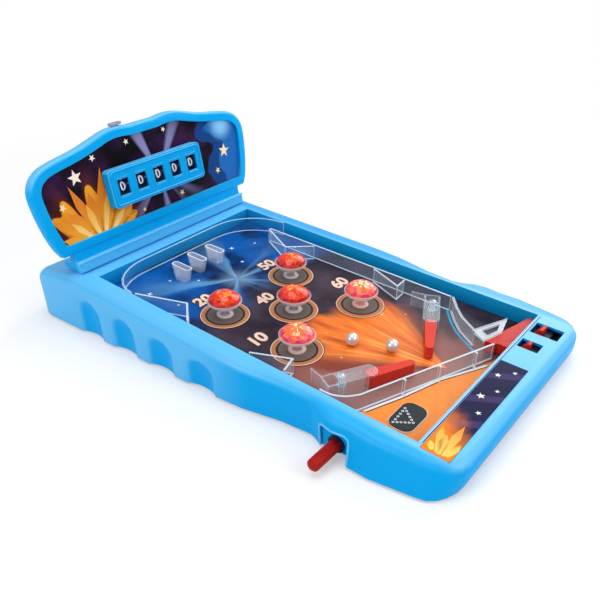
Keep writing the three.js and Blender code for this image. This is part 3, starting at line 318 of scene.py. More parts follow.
boardArt = {
    "skyFrom": (-2.0, 58.0), "beams": ((5.0, 0.7, 0.6), (9.0, 2.3, 0.35), (16.0, 1.0, 0.25)),
    "skyLine": (34.0, 74.0), "skyCloud": (0.42, 0.72), "beamReach": (130.0, 16.0), "glareReach": (24.0, 0.0),
    "night": (0.002, 0.010, 0.060), "blue": (0.003, 0.085, 0.34), "beam": (0.20, 0.50, 0.78),
    "glare": (0.50, 0.74, 0.90), "greyDark": (0.018, 0.012, 0.022), "grey": (0.060, 0.042, 0.066),
    "fireFrom": (2.0, -164.0), "fireHeight": 122.0, "fireDroop": -52.0, "fireWidth": (0.86, 0.62),
    "tongues": ((13.0, 0.0, 9.0), (31.0, 1.2, 5.0)),
    "ember": (0.50, 0.075, 0.022), "fire": (0.84, 0.20, 0.030), "heart": (0.98, 0.42, 0.09),
    "rust": (0.22, 0.046, 0.028), "stain": (0.31, 0.115, 0.088),
    "cornerSlope": 0.40, "cornerY": 174.0, "corner": (0.90, 0.27, 0.040), "cornerDark": (0.83, 0.240, 0.042),
}


def boardMaterial():
    # Printed play field: blue beams at the top, grey middle, and a fire that fans up from the drain
    art = boardArt
    material, tree, shader = newMaterial("printedField", 0.3, 0.12)
    place, (x, y, _) = placeIn(tree, fieldMatrix)
    cloud = noiseAt(place, 0.03, 5.0)
    bumped(shader, noiseAt(place, 0.6, 2.0), 0.03, 0.0001)
    angle, spread = polar(minus(y, art["skyFrom"][1]), minus(x, art["skyFrom"][0]))
    beams = rayFan(scaled(cloud, 0.35, angle), art["beams"], -0.1, 1.0)
    shade = ramped(scaled(maths("ABSOLUTE", x), 0.0025, cloud), *art["skyCloud"])
    sky = mixed(shade, art["night"], art["blue"])
    sky = mixed(times(times(beams, ramped(spread, *art["beamReach"])), 0.45), sky, art["beam"])
    sky = mixed(times(ramped(spread, *art["glareReach"]), 0.25), sky, art["glare"])
    grey = mixed(ramped(cloud, 0.3, 0.7), art["greyDark"], art["grey"])
    picture = mixed(ramped(scaled(cloud, 46.0, y), *art["skyLine"]), grey, sky)

    turn, reach = polar(minus(x, art["fireFrom"][0]), minus(y, art["fireFrom"][1]))
    tongues = [times(maths("SINE", scaled(turn, count, shift)), size)
               for count, shift, size in art["tongues"]]
    top = scaled(times(turn, turn), art["fireDroop"], art["fireHeight"])
    edge = minus(plus(reach, plus(*tongues)), top)
    width = ramped(maths("ABSOLUTE", plus(turn, 0.08)), *art["fireWidth"])
    stretched = addNode(tree, "ShaderNodeCombineXYZ", {0: times(turn, 9.0), 1: times(reach, 0.012)})
    streak = noiseAt(stretched.outputs[0], 1.0, 4.0)
    fire = mixed(ramped(streak, 0.30, 0.52), art["ember"], art["fire"])
    fire = mixed(ramped(streak, 0.52, 0.68), fire, art["heart"])
    fire = mixed(ramped(maths("ABSOLUTE", minus(turn, 0.02)), 0.40, 0.68), fire, art["rust"])
    stain = times(ramped(scaled(cloud, 40.0, y), -22.0, -64.0), ramped(scaled(cloud, -60.0, x), 40.0, -20.0))
    picture = mixed(times(stain, 0.85), picture, art["stain"])
    picture = mixed(times(ramped(edge, 10.0, -12.0), width), picture, fire)

    corner = mixed(ramped(streak, 0.35, 0.65), art["cornerDark"], art["corner"])
    slope = scaled(x, art["cornerSlope"], plus(y, art["cornerY"]))
    painted(shader, mixed(ramped(slope, 1.0, -1.0), picture, corner))
    return material


def gradient(name, matrix, axis, low, high, first, second):
    # Ink that changes colour from low to high along one axis
    material, tree, shader = newMaterial(name, 0.35, 0.2)
    place, parts = placeIn(tree, matrix)
    along = scaled(noiseAt(place, 0.08, 3.0), (high - low) * 0.25, parts[axis])
    painted(shader, mixed(ramped(along, low, high), first, second))
    return material


panelArt = {
    "beamsFrom": (8.0, 60.0), "beams": ((7.0, 0.4, 0.6), (13.0, 2.0, 0.4)), "beamsWidth": (62.0, 10.0),
    "black": (0.001, 0.001, 0.002), "violet": (0.034, 0.008, 0.052), "beam": (0.24, 0.24, 0.46),
    "swirlX": (92.0, 95.0), "swirl": (0.004, 0.052, 0.22), "litX": (108.0, 111.0), "lit": (0.012, 0.14, 0.46),
    "glareAt": (100.0, 0.0, 90.0), "glareReach": (20.0, 3.0), "glare": (0.25, 0.62, 0.92),
    "burstFrom": (-76.0, 8.0), "spikes": ((9.0, 0.3, 0.6), (17.0, 1.9, 0.4)), "spikeLength": -26.0,
    "burst": (0.90, 0.36, 0.02), "burstDark": (0.50, 0.10, 0.006), "halo": (0.13, 0.020, 0.006),
}


def panelMaterial():
    # Printed backboard card: near black with violet beams, a burst low at the left, blue at the right
    art = panelArt
    material, tree, shader = newMaterial("printedBackCard", 0.35, 0.08)
    place, (x, _, z) = placeIn(tree, backboardMatrix)
    cloud = noiseAt(place, 0.03, 4.0)
    aside = minus(x, art["beamsFrom"][0])
    angle, _ = polar(minus(z, art["beamsFrom"][1]), aside)
    beams = rayFan(angle, art["beams"], 0.05, 0.8)
    middle = ramped(maths("ABSOLUTE", aside), *art["beamsWidth"])
    picture = mixed(ramped(cloud, 0.35, 0.7), art["black"], art["violet"])
    picture = mixed(times(beams, middle), picture, art["beam"])
    swirl = plus(scaled(cloud, 40.0, x), times(maths("SINE", times(z, 0.16)), 7.0))
    picture = mixed(ramped(swirl, *art["swirlX"]), picture, art["swirl"])
    picture = mixed(ramped(swirl, *art["litX"]), picture, art["lit"])
    inputs = {0: place, 1: art["glareAt"]}
    glare = addNode(tree, "ShaderNodeVectorMath", inputs, operation="DISTANCE").outputs["Value"]
    picture = mixed(ramped(glare, *art["glareReach"]), picture, art["glare"])
    turn, reach = polar(minus(x, art["burstFrom"][0]), minus(z, art["burstFrom"][1]))
    spikes = rayFan(turn, art["spikes"], -0.5, 0.7)
    edge = scaled(spikes, art["spikeLength"], reach)
    burst = mixed(spikes, art["burstDark"], art["burst"])
    picture = mixed(ramped(edge, 66.0, 22.0), picture, art["halo"])
    painted(shader, mixed(ramped(edge, 42.0, 40.0), picture, burst))
    return material


labelArt = {
    "night": (0.002, 0.003, 0.022), "blue": (0.010, 0.010, 0.075), "band": (0.07, 0.045, 0.17),
    "bandSlant": 0.6, "bandWave": 0.19, "flame": (0.86, 0.21, 0.012), "flameX": (118.0, 88.0),
}


def labelMaterial():
    # Printed apron card: slanted violet bands, and a glow at the left end
    art = labelArt
    material, tree, shader = newMaterial("printedApronCard", 0.35, 0.06)
    place, (x, y, _) = placeIn(tree, fieldMatrix)
    cloud = noiseAt(place, 0.05, 4.0)
    bands = ramped(maths("SINE", times(scaled(y, art["bandSlant"], x), art["bandWave"])), 0.55, 0.9)
    base = mixed(times(bands, 0.5), mixed(cloud, art["night"], art["blue"]), art["band"])
    flame = ramped(scaled(cloud, -34.0, scaled(y, -0.9, x)), *art["flameX"])
    painted(shader, mixed(flame, base, art["flame"]))
    return material


def jewelMaterial(name, heart, body, rim, glow, shine):
    # Faceted caps: painted light in the heart, red towards the rim, with a tint that changes from facet to
    # facet. Bright facets and specks are painted glints, and the caps glow by emission, a painted glow, most
    # on the lit caps
    material, tree, shader = newMaterial(name, 0.1)
    facet = addNode(tree, "ShaderNodeAttribute", attribute_name="facet").outputs["Color"]
    tint, lit, spot = addNode(tree, "ShaderNodeSeparateColor", {0: facet}).outputs
    inputs = {"Vector": objectPlace(tree), "Scale": 230.0}
    glintSpeck = addNode(tree, "ShaderNodeTexVoronoi", inputs).outputs["Distance"]
    # Painted glints: bright facets and specks turn towards the heart colour and glow
    light = times(lit, ramped(glintSpeck, 0.9, 0.15))
    colour = mixed(light, mixed(ramped(tint, 0.25, 0.95), body, rim), heart)
    colour = mixed(times(ramped(spot, 0.80, 0.86), 0.6), colour, (0.80, 0.02, 0.10))
    painted(shader, colour)
    tree.links.new(colour, shader.inputs["Emission Color"])
    tree.links.new(scaled(light, shine, glow), shader.inputs["Emission Strength"])
    return material


skyLook = {"colour": (0.97, 0.98, 1.0, 1), "strength": 0.38}
world = bpy.data.worlds.new("studio")
scene.world = world
world.use_nodes = True
tree = world.node_tree
studio = tree.nodes["Background"]
studio.inputs["Color"].default_value = skyLook["colour"]
studio.inputs["Strength"].default_value = skyLook["strength"]
# The camera sees pure white behind the game, also through its clear parts
seen = addNode(tree, "ShaderNodeBackground", {"Color": (1, 1, 1, 1), "Strength": 1.0})
rays = addNode(tree, "ShaderNodeLightPath").outputs
seenOr = maths("MAXIMUM", rays["Is Camera Ray"], rays["Is Transmission Ray"])
sky = addNode(tree, "ShaderNodeMixShader", {0: seenOr, 1: studio.outputs[0], 2: seen.outputs[0]})
tree.links.new(sky.outputs[0], tree.nodes["World Output"].inputs["Surface"])
print("camera and lamps placed")

materials = {
    "case": blueMaterial("blueCasePlastic", True),
    "blue": blueMaterial("bluePlastic"),
    "field": boardMaterial(),
    "panel": panelMaterial(),
    "label": labelMaterial(),
    "lever": leverMaterial(),
}
clearPlastics = {
    "clear": ("clearPlastic", (0.62, 0.82, 0.95), 0.07, 0.32, 0.54),
    "archClear": ("clearArchPlastic", (0.12, 0.50, 0.86), 0.05, 0.26, 0.50),
    "clearEdge": ("clearPlasticEdge", (0.80, 0.90, 0.96), 0.78, 0.20, 0.15),
    "hood": ("clearHoodPlastic", (0.74, 0.87, 0.96), 0.09, 0.30, 0.10),
    "guide": ("clearGuidePlastic", (0.74, 0.86, 0.96), 0.10, 0.32, 0.26),
    "frosted": ("frostedClearPlastic", (0.80, 0.84, 0.93), 0.27, 0.22, 0.45),
    "postBlue": ("paleBluePost", (0.42, 0.72, 0.92), 0.40, 0.40, 0.10),
    "cup": ("clearCupPlastic", (0.86, 0.84, 0.86), 0.05, 0.45, 0.05),
    "cupRim": ("clearCupRimPlastic", (0.94, 0.84, 0.83), 0.34, 0.45, 0.10),
}
solids = {
    "red": ("redPlastic", (0.68, 0.050, 0.030), (0.60, 0.038, 0.022), 0.38, 0.1, 0, 80.0, 0.04),
    "rod": ("darkRedPlastic", (0.40, 0.012, 0.008), (0.33, 0.008, 0.005), 0.36, 0.1, 0, 80.0, 0.04),
    # Lighter blue for painted highlights on lips and edges
    "rimBlue": ("rimBluePlastic", (0.13, 0.57, 0.95), (0.10, 0.52, 0.90), 0.3, 0.3, 0, 60.0, 0.03),
    "laneBlue": ("laneBlueInk", (0.02, 0.36, 0.62), (0.01, 0.26, 0.50), 0.4, 0.2, 0, 120.0, 0.02),
    "navy": ("navyPlastic", (0.005, 0.018, 0.080), (0.003, 0.010, 0.050), 0.4, 0.2, 0, 120.0, 0.08),
    "black": ("grillePlastic", (0.020, 0.030, 0.032), (0.012, 0.018, 0.020), 0.5, 0.2, 0, 200.0, 0.15),
    "rubber": ("footRubber", (0.03, 0.03, 0.03), (0.018, 0.018, 0.018), 0.8, 0.3, 0, 400.0, 0.3),
    "grey": ("greySwitch", (0.36, 0.35, 0.42), (0.28, 0.27, 0.34), 0.4, 0.3, 0, 200.0, 0.1),
    "circuit": ("circuitGreen", (0.02, 0.17, 0.06), (0.01, 0.11, 0.04), 0.45, 0.5, 0, 500.0, 0.1),
    "steel": ("springSteel", (0.62, 0.63, 0.65), (0.55, 0.56, 0.58), 0.25, 0.5, 1.0, 300.0, 0.03),
    "ball": ("ballSteel", (0.74, 0.73, 0.68), (0.66, 0.65, 0.60), 0.34, 0.5, 0.5, 300.0, 0.03),
    "cream": ("creamInk", (0.84, 0.64, 0.52), (0.76, 0.55, 0.44), 0.4, 0.2, 0, 150.0, 0.02),
    "edgeInk": ("brownInk", (0.085, 0.026, 0.018), (0.060, 0.018, 0.012), 0.4, 0.2, 0, 150.0, 0.02),
    "bronze": ("bronzeInk", (0.50, 0.21, 0.085), (0.40, 0.155, 0.060), 0.35, 0.25, 0, 45.0, 0.02),
    "white": ("whiteInk", (0.80, 0.83, 0.88), (0.72, 0.76, 0.83), 0.4, 0.2, 0, 150.0, 0.02),
    "ringGrey": ("ringGreyInk", (0.180, 0.150, 0.125), (0.110, 0.092, 0.080), 0.4, 0.25, 0, 70.0, 0.02),
    "ringDark": ("ringDarkInk", (0.030, 0.014, 0.016), (0.020, 0.009, 0.010), 0.4, 0.2, 0, 90.0, 0.02),
    "shadowBlue": ("grooveBlue", (0.0, 0.045, 0.17), (0.0, 0.03, 0.13), 0.5, 0.1, 0, 90.0, 0.02),
}
gradients = {
    "cardFlame": ("cardFlameInk", backboardMatrix, 2, 20.0, 70.0, (0.98, 0.44, 0.03), (0.74, 0.20, 0.01)),
    "cardGlow": ("cardGlowInk", backboardMatrix, 2, 20.0, 62.0, (1.0, 0.80, 0.34), (0.95, 0.42, 0.03)),
    "cardStar": ("cardStarInk", backboardMatrix, 2, 40.0, 110.0, (0.95, 0.66, 0.28), (0.98, 0.90, 0.72)),
    "labelFlame": ("labelFlameInk", fieldMatrix, 0, -102.0, -60.0, (1.0, 0.62, 0.10), (0.85, 0.25, 0.02)),
}
jewels = {
    # Heart, body and rim colours, then the painted glow and the glow of the painted glints
    "cap": ("redJewel", (1.0, 0.52, 0.07), (0.74, 0.035, 0.008), (0.40, 0.004, 0.008), 0.05, 0.6),
    "litCap": ("litJewel", (1.0, 0.90, 0.52), (0.94, 0.14, 0.03), (0.66, 0.015, 0.16), 0.14, 3.6),
}
for make, looks in ((clearMaterial, clearPlastics), (shaded, solids), (gradient, gradients),
                    (jewelMaterial, jewels)):
    materials.update({key: make(*look) for key, look in looks.items()})
slotMaterial = {
    "blue_plastic": "blue", "dark_plastic": "navy", "rubber": "rubber", "circuit_green": "circuit",
    "printed_field": "field", "printed_label": "label", "black_plastic": "black", "clear_plastic": "clear",
    "red_lens": "red", "red_plastic": "red", "spring_steel": "steel", "ball_steel": "ball",
    "grey_plastic": "grey",
}
print("materials mixed:", len(materials))


# Helpers that make pieces

dressed = set()


def finished(piece, body, material, smooth=None):
    scene.collection.objects.link(piece)
    piece.data.materials.clear()
    piece.data.materials.append(materials[material])
    if smooth is not None:
        for polygon in piece.data.polygons:
            polygon.use_smooth = True
        piece.data.set_sharp_from_angle(angle=math.radians(smooth))
    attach(piece, body)
    return piece


def softened(name, width, material=None, smooth=32, segments=2, edge=None):
    # A dressed copy of a part with its edges rounded, which stands for the part
    dressed.add(name)
    mesh = nodes[name].data.copy()
    shape = bmesh.new()
    shape.from_mesh(mesh)
    bmesh.ops.remove_doubles(shape, verts=shape.verts, dist=0.00001)
    bmesh.ops.dissolve_limit(shape, angle_limit=math.radians(1.0), verts=shape.verts, edges=shape.edges)
    bmesh.ops.recalc_face_normals(shape, faces=shape.faces)
    if material in ("hood", "frosted"):  # undersides of the hoods and cups only dull what shows through them
        hidden = [face for face in shape.faces if face.normal.z < -0.7]
        bmesh.ops.delete(shape, geom=hidden, context="FACES")
    shape.to_mesh(mesh)
    shape.free()
    piece = bpy.data.objects.new(name + "Dressed", mesh)
    finished(piece, bodyOf[name], material or slotMaterial[slotOf[name]], smooth)
    bevel = piece.modifiers.new("roundedEdges", "BEVEL")
    bevel.width = width / 1000
    bevel.segments = segments
    bevel.limit_method = "ANGLE"
    bevel.angle_limit = math.radians(smooth)
    bevel.harden_normals = True
    if edge:
        mesh.materials.append(materials[edge])
        bevel.material = 1
    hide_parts(name)


def recoloured(name, material):
    # A part that keeps its own mesh and only gets its finish
    dressed.add(name)
    nodes[name].data.materials.clear()
    nodes[name].data.materials.append(materials[material])


def meshPiece(name, shape, matrix, body, material, smooth=None):
    mesh = bpy.data.meshes.new(name)
    bmesh.ops.recalc_face_normals(shape, faces=shape.faces)
    shape.to_mesh(mesh)
    shape.free()
    mesh.transform(matrix)
    return finished(bpy.data.objects.new(name, mesh), body, material, smooth)


def addRing(shape, centre, inner, outer, low, high, steps, upright=False):
    def put(radius, i, level):
        turn = math.tau * i / steps
        x, y = centre[0] + radius * math.cos(turn), centre[1] + radius * math.sin(turn)
        return (x, -level, y) if upright else (x, y, level)
    loops = [[shape.verts.new(put(r, i, h)) for i in range(steps)]
             for r, h in ((inner, low), (outer, low), (outer, high), (inner, high))]
    for a, b in zip(loops, loops[1:] + loops[:1]):
        for i in range(steps):
            j = (i + 1) % steps
            shape.faces.new((a[i], a[j], b[j], b[i]))


def lathed(shape, centre, profile, steps, twist=0.0):
    # Turns a profile of (radius, height) about an upright axis through centre; ends on the axis are closed
    x, y = centre
    loops = []
    for level, (radius, height) in enumerate(profile):
        turns = [math.tau * (i + twist * (level % 2)) / steps for i in range(steps if radius else 1)]
        loops.append([shape.verts.new((x + radius * math.cos(turn), y + radius * math.sin(turn), height))
                      for turn in turns])
    for a, b in zip(loops, loops[1:]):
        for i in range(steps):
            j = (i + 1) % steps
            corners = (a[i % len(a)], a[j % len(a)], b[j % len(b)], b[i % len(b)])
            shape.faces.new(list(dict.fromkeys(corners)))


def slabPiece(name, outlines, low, high, matrix, slot, material, smooth=None, body="cabinet"):
    # Closed slabs in the plane of the play field or the table, or upright ones on the backboard
    def put(point, level):
        return (point[0], -level, point[1]) if matrix is backboardMatrix else (point[0], point[1], level)
    shape = bmesh.new()
    for outline in outlines:
        bottom = [shape.verts.new(put(point, low)) for point in outline]
        top = [shape.verts.new(put(point, high)) for point in outline]
        shape.faces.new(bottom[::-1])
        shape.faces.new(top)
        for i in range(len(outline)):
            j = (i + 1) % len(outline)
            shape.faces.new((bottom[i], bottom[j], top[j], top[i]))
    meshPiece(name, shape, matrix, body, material, smooth)


def ringPiece(name, centres, size, steps, matrix, material, smooth=None):
    # Rings of one size, given as inner and outer radius, low and high
    shape = bmesh.new()
    for centre in centres:
        addRing(shape, centre, *size, steps, matrix is backboardMatrix)
    meshPiece(name, shape, matrix, "cabinet", material, smooth)


def turnedPiece(name, centres, profile, steps, matrix, material):
    shape = bmesh.new()
    for centre in centres:
        lathed(shape, centre, profile, steps)
    meshPiece(name, shape, matrix, "cabinet", material, 40)


def meshOfCurve(curve):
    holder = bpy.data.objects.new("line", curve)
    scene.collection.objects.link(holder)
    bpy.context.view_layer.update()
    mesh = bpy.data.meshes.new_from_object(holder.evaluated_get(bpy.context.evaluated_depsgraph_get()))
    bpy.data.objects.remove(holder)
    return mesh


def bead(name, points, radius, matrix, material, closed=False):
    # A round bead along a line of points
    curve = bpy.data.curves.new(name, "CURVE")
    curve.dimensions = "3D"
    curve.bevel_depth = radius
    curve.bevel_resolution = 3
    curve.use_fill_caps = True
    spline = curve.splines.new("POLY")
    spline.points.add(len(points) - 1)
    for point, place in zip(spline.points, points):
        point.co = (*place, 1)
    spline.use_cyclic_u = closed
    mesh = meshOfCurve(curve)
    mesh.name = name
    mesh.transform(matrix)
    finished(bpy.data.objects.new(name, mesh), "cabinet", material, 40)


def numberMesh(text, size, swell, thickness):
    curve = bpy.data.curves.new("digits", "FONT")
    curve.body = text
    curve.size = size
    curve.offset = swell
    curve.extrude = thickness / 2
    curve.align_x = "CENTER"
    curve.align_y = "CENTER"
    curve.resolution_u = 6
    return meshOfCurve(curve)


def outlineOf(name, matrix, grow):
    # The outline of a flat part from above, in order round its middle and grown a little
    inverse = matrix.inverted()
    corners = {tuple(round(c, 1) for c in (inverse @ vertex.co)[:2]) for vertex in nodes[name].data.vertices}
    middle = sum((Vector(corner) for corner in corners), Vector((0, 0))) / len(corners)
    rim = [Vector(corner) - middle for corner in corners]
    rim.sort(key=lambda reach: math.atan2(reach.y, reach.x))
    far = max(reach.length for reach in rim) * 0.55
    return [tuple(middle + reach * (1 + grow / reach.length)) for reach in rim if reach.length > far]


def spaced(first, last, count):
    return [first + (last - first) * i / (count - 1) for i in range(count)]


def rectangle(left, low, right, high):
    return [(left, low), (right, low), (right, high), (left, high)]


def star(centre, radius, points=5, waist=0.42, turn=0.0):
    corners = []
    for i in range(points * 2):
        reach = radius if i % 2 == 0 else radius * waist
        angle = math.pi / 2 + turn + math.pi * i / points
        corners.append((centre[0] + reach * math.cos(angle), centre[1] + reach * math.sin(angle)))
    return corners


def spike(root, turn, start, end, width):
    # A straight pointed beam away from the root, its turn in degrees from straight up
    along = Vector((math.sin(math.radians(turn)), math.cos(math.radians(turn))))
    aside = Vector((along.y, -along.x))
    waist = start + (end - start) * 0.62
    ends = ((start, -0.25), (start, 0.25), (waist, 0.5), (end, 0.0), (waist, -0.5))
    return [tuple(Vector(root) + along * reach + aside * width * share) for reach, share in ends]


# Case

caseLook = {"edge": 0.45, "coverEdge": 0.3, "footEdge": 0.6}
softened("case_top", caseLook["edge"], "case", 38)
for name in ("bottom_cover", "battery_door", "left_button_bush", "right_button_bush"):
    softened(name, caseLook["coverEdge"])
for i in range(4):
    softened(f"foot_{i + 1}", caseLook["footEdge"], smooth=40)

# A white bead along the tray edge, a painted highlight, and a dark one beside it, painted shadow in the
# groove
apronLines = {"reach": 97.0, "beads": [(-197.25, 15.0, 0.30, "white"), (-197.9, 14.95, 0.34, "shadowBlue")]}
for i, (y, z, radius, ink) in enumerate(apronLines["beads"]):
    line = [(-apronLines["reach"], y, z), (apronLines["reach"], y, z)]
    bead(f"apronBead{i + 1}", line, radius, fieldMatrix, ink)

# A rounded lip where the recess round each finger button comes out of the case wall, in a lighter blue: a
# painted highlight along the lip
lip = {"y": -140.3, "half": 14.0, "top": 23.5, "corner": 5.5, "low": 2.6, "radius": 1.0, "sink": 0.4}
bendY = lip["corner"] - lip["half"]
bendZ = lip["top"] - lip["corner"]
arch = [(-lip["half"], z) for z in spaced(lip["low"], bendZ, 7)]
for i in range(1, 7):
    turn = math.pi / 12 * i
    arch.append((bendY - lip["corner"] * math.cos(turn), bendZ + lip["corner"] * math.sin(turn)))
arch += [(bendY * (1 - i / 4), lip["top"]) for i in range(1, 5)]
arch += [(-y, z) for y, z in arch[-2::-1]]
shape = bmesh.new()
shape.from_mesh(nodes["case_top"].data)
caseTree = BVHTree.FromBMesh(shape)
shape.free()
for side, sign in (("left", -1), ("right", 1)):
    line = []
    for y, z in arch:
        start = Vector((sign * 0.2, (lip["y"] + y) / 1000, z / 1000))
        hit = caseTree.ray_cast(start, Vector((-sign, 0, 0)))[0]
        line.append((hit.x * 1000 - sign * lip["sink"], lip["y"] + y, z))
    bead(f"{side}AlcoveLip", line, lip["radius"], millimetres, "rimBlue")

underside = {
    "screws": [(-104, -150), (104, -150), (-100, 0), (100, 0), (-104, 150), (104, 150)],
    "well": (2.2, 4.2, 1.5, 2.1),
    "screw": [(0, 1.9), (2.1, 1.9), (2.1, 2.25), (0, 2.25)],
    "door": {"x": (24, 60), "y": 68, "lines": 7, "pitch": 2.4, "level": (1.8, 2.4)},
}
ringPiece("coverScrewWells", underside["screws"], underside["well"], 28, millimetres,
          "navy", 40)
turnedPiece("coverScrews", underside["screws"], underside["screw"], 20, millimetres, "steel")
door = underside["door"]
outlines = []
for i in range(door["lines"]):
    y = door["y"] + i * door["pitch"]
    outlines.append(rectangle(door["x"][0] + i, y, door["x"][1] - i, y + 1))
slabPiece("doorGripLines", outlines, *door["level"], millimetres, "dark_plastic", "navy")
print("case dressed")

# Printed play field

recoloured("playfield_board", "field")
fieldPrint = {
    "stars": [((-74, 100), 3.4), ((-46, 104), 2.2), ((40, 106), 3.4), ((64, 96), 2.0), ((-88, 72), 2.4),
              ((10, 96), 2.4), ((84, 58), 2.2), ((-28, 84), 1.8), ((26, 78), 2.6), ((-70, 66), 1.8)],
    "sparks": [((20, -52), 1.6), ((34, -82), 1.8), ((-20, -62), 1.3), ((48, -98), 1.3), ((-40, -92), 1.4)],
    "level": (0.03, 0.06),
}
for name, kind, waist, ink in (("skyStarPrint", "stars", 0.28, "white"),
                               ("sparkPrint", "sparks", 0.3, "cream")):
    outlines = [star(place, size, 4, waist, place[0] * 0.1) for place, size in fieldPrint[kind]]
    slabPiece(name, outlines, *fieldPrint["level"], fieldMatrix, "printed_field", ink)

# Each ring is given as its name, its two edges counted from the ring radius, and its ink
bumpers = {
    "centres": [(-54.5, 23.1), (35.5, 23.1), (-9.5, -17.5), (-54.5, -58.1), (35.5, -58.1)],
    "labels": ["20", "50", "40", "10", "60"],
    "labelPlaces": [(-50.5, 54.5), (36.5, 54.5), (-12.5, 13.8), (-64.5, -24.5), (54.5, -21.5)],
    "labelSize": 18,
    "labelLean": 0.12,
    "lit": [False, False, False, True, True],
    "ringRadius": 21.8,
    "rings": [("Shade", 0.0, 0.7, "ringDark"), ("Halo", -0.7, 0.0, "cream"), ("Ring", -4.4, -0.7, "bronze"),
              ("Dark", -6.2, -4.4, "ringDark"), ("Disc", -15.8, -6.2, "ringGrey")],
    "ringLevel": (0.20, 0.25),
}
slant = Matrix.Identity(4)
slant[0][1] = bumpers["labelLean"]
for i, centre in enumerate(bumpers["centres"]):
    for part, inner, outer, ink in bumpers["rings"]:
        size = (bumpers["ringRadius"] + inner, bumpers["ringRadius"] + outer, *bumpers["ringLevel"])
        ringPiece(f"bumper{part}Print{i + 1}", [centre], size, 48, fieldMatrix, ink)
    for name, swell, level, ink in (("numberEdge", 1.9, 0.27, "edgeInk"), ("number", 0.75, 0.31, "cream")):
        mesh = numberMesh(bumpers["labels"][i], bumpers["labelSize"], swell, 0.03)
        mesh.transform(fieldMatrix @ Matrix.Translation((*bumpers["labelPlaces"][i], level)) @ slant)
        finished(bpy.data.objects.new(f"{name}{i + 1}", mesh), "cabinet", ink)

lowerLines = {"points": [(-81.5, -142.5), (-51.5, -154.5), (-14.5, -166.5), (25.5, -186.5)],
              "print": (-1.1, 1.1), "shadow": (-2.2, -1.2), "level": (0.02, 0.05)}
for name, kind, ink in (("lowerLinePrint", "print", "white"), ("lowerLineShadow", "shadow", "ringDark")):
    low, high = lowerLines[kind]
    outlines = [[(x0, y0 + low), (x1, y1 + low), (x1, y1 + high), (x0, y0 + high)]
                for (x0, y0), (x1, y1) in zip(lowerLines["points"], lowerLines["points"][1:])]
    slabPiece(name, outlines, *lowerLines["level"], fieldMatrix, "printed_field", ink)

laneLine = {"points": [(78.8, -112.0), (78.6, -122.2), (69.0, -129.5), (59.4, -137.6), (51.6, -146.0),
                       (45.9, -154.1), (40.9, -162.7), (36.0, -169.6)],
            "width": 2.0, "overlap": 0.4, "level": (0.02, 0.05)}
outlines = []
for start, end in zip(laneLine["points"], laneLine["points"][1:]):
    start, end = Vector(start), Vector(end)
    along = (end - start).normalized()
    aside = Vector((along.y, -along.x)) * laneLine["width"] / 2
    start, end = start - along * laneLine["overlap"], end + along * laneLine["overlap"]
    outlines.append([start - aside, end - aside, end + aside, start + aside])
slabPiece("laneLinePrint", outlines, *laneLine["level"], fieldMatrix, "printed_field", "laneBlue")
print("play field printed")

# Speaker grille

grille = {"centre": (-67.5, -170.5), "size": (30, 19), "corners": [(0.2, 0.33), (-0.4, 0.27), (-0.12, -0.33)],
          "perSide": 5, "dot": (0.55, 1.0, 1.28, 1.42), "frame": 0.5, "margin": 0.7}
softened("speaker_grille", 0.25, "black", 40)
centres = []
for side in range(3):
    start = Vector(grille["corners"][side])
    end = Vector(grille["corners"][(side + 1) % 3])
    for i in range(grille["perSide"]):
        at = start.lerp(end, i / grille["perSide"])
        centres.append([grille["centre"][axis] + at[axis] * grille["size"][axis] for axis in (0, 1)])
ringPiece("grilleDots", centres, grille["dot"], 12, fieldMatrix, "white")
line = [(x, y, 0.2) for x, y in outlineOf("speaker_grille", fieldMatrix, grille["margin"])]
bead("grilleFrame", line, grille["frame"], fieldMatrix, "cream", True)

# Clear rails, guides and guards

clearEdge = {"width": 0.32, "smooth": 28}
clearParts = {
    "clear": ["lane_rail", "drain_rail", "upper_left_deflector", "upper_right_deflector",
              "lower_left_deflector", "lower_right_deflector"],
    "guide": ["launch_guide"],
    "archClear": ["arch_rail"],
    "hood": ["left_flipper_guard", "right_flipper_guard"],
    "frosted": ["lane_guide_1", "lane_guide_2", "lane_guide_3"],
}
# The rounded edges of the rails, guides and guards get the near-white edge material, a painted highlight; the
# frosted lane guides keep plain edges
for material, names in clearParts.items():
    for name in names:
        softened(name, clearEdge["width"], material, clearEdge["smooth"],
                 edge=None if material == "frosted" else "clearEdge")
guardPosts = {
    "places": [(-69.0, -112.5), (69.0, -112.5)],
    "post": [(0, 0.3), (3.4, 0.3), (3.4, 1.2), (2.4, 1.5), (2.4, 8.6), (3.2, 8.9), (3.2, 9.6), (0, 9.6)],
    "screw": [(0, 9.7), (1.9, 9.7), (1.9, 10.1), (1.2, 10.4), (0, 10.4)],
}
for i, place in enumerate(guardPosts["places"]):
    turnedPiece(f"guardPost{i + 1}", [place], guardPosts["post"], 24, fieldMatrix,
                "postBlue")
    turnedPiece(f"guardScrew{i + 1}", [place], guardPosts["screw"], 20, fieldMatrix, "steel")
print("clear parts dressed")

# Bumpers

capLook = {
    "steps": 18, "radius": 14.9,
    "dome": [(0.0, 13.4), (12.0, 13.4), (13.6, 14.5), (13.9, 15.8), (13.0, 18.2), (10.3, 20.4), (6.5, 21.9),
             (2.7, 22.75), (0.0, 22.95)],
    "rim": [(12.4, 13.0), (14.2, 12.9), (15.25, 14.0), (15.3, 15.4), (14.9, 15.9), (14.4, 15.6),
            (14.1, 14.3)],
    "foot": [(4.2, 0.35), (7.3, 0.35), (7.6, 0.8), (7.2, 1.4), (4.6, 1.7)],
    "tints": (12.9898, 3.1, 43758.5453), "spots": (78.233, 1.7, 24634.6345), "brightFrom": 0.52, "dim": 0.12,
}


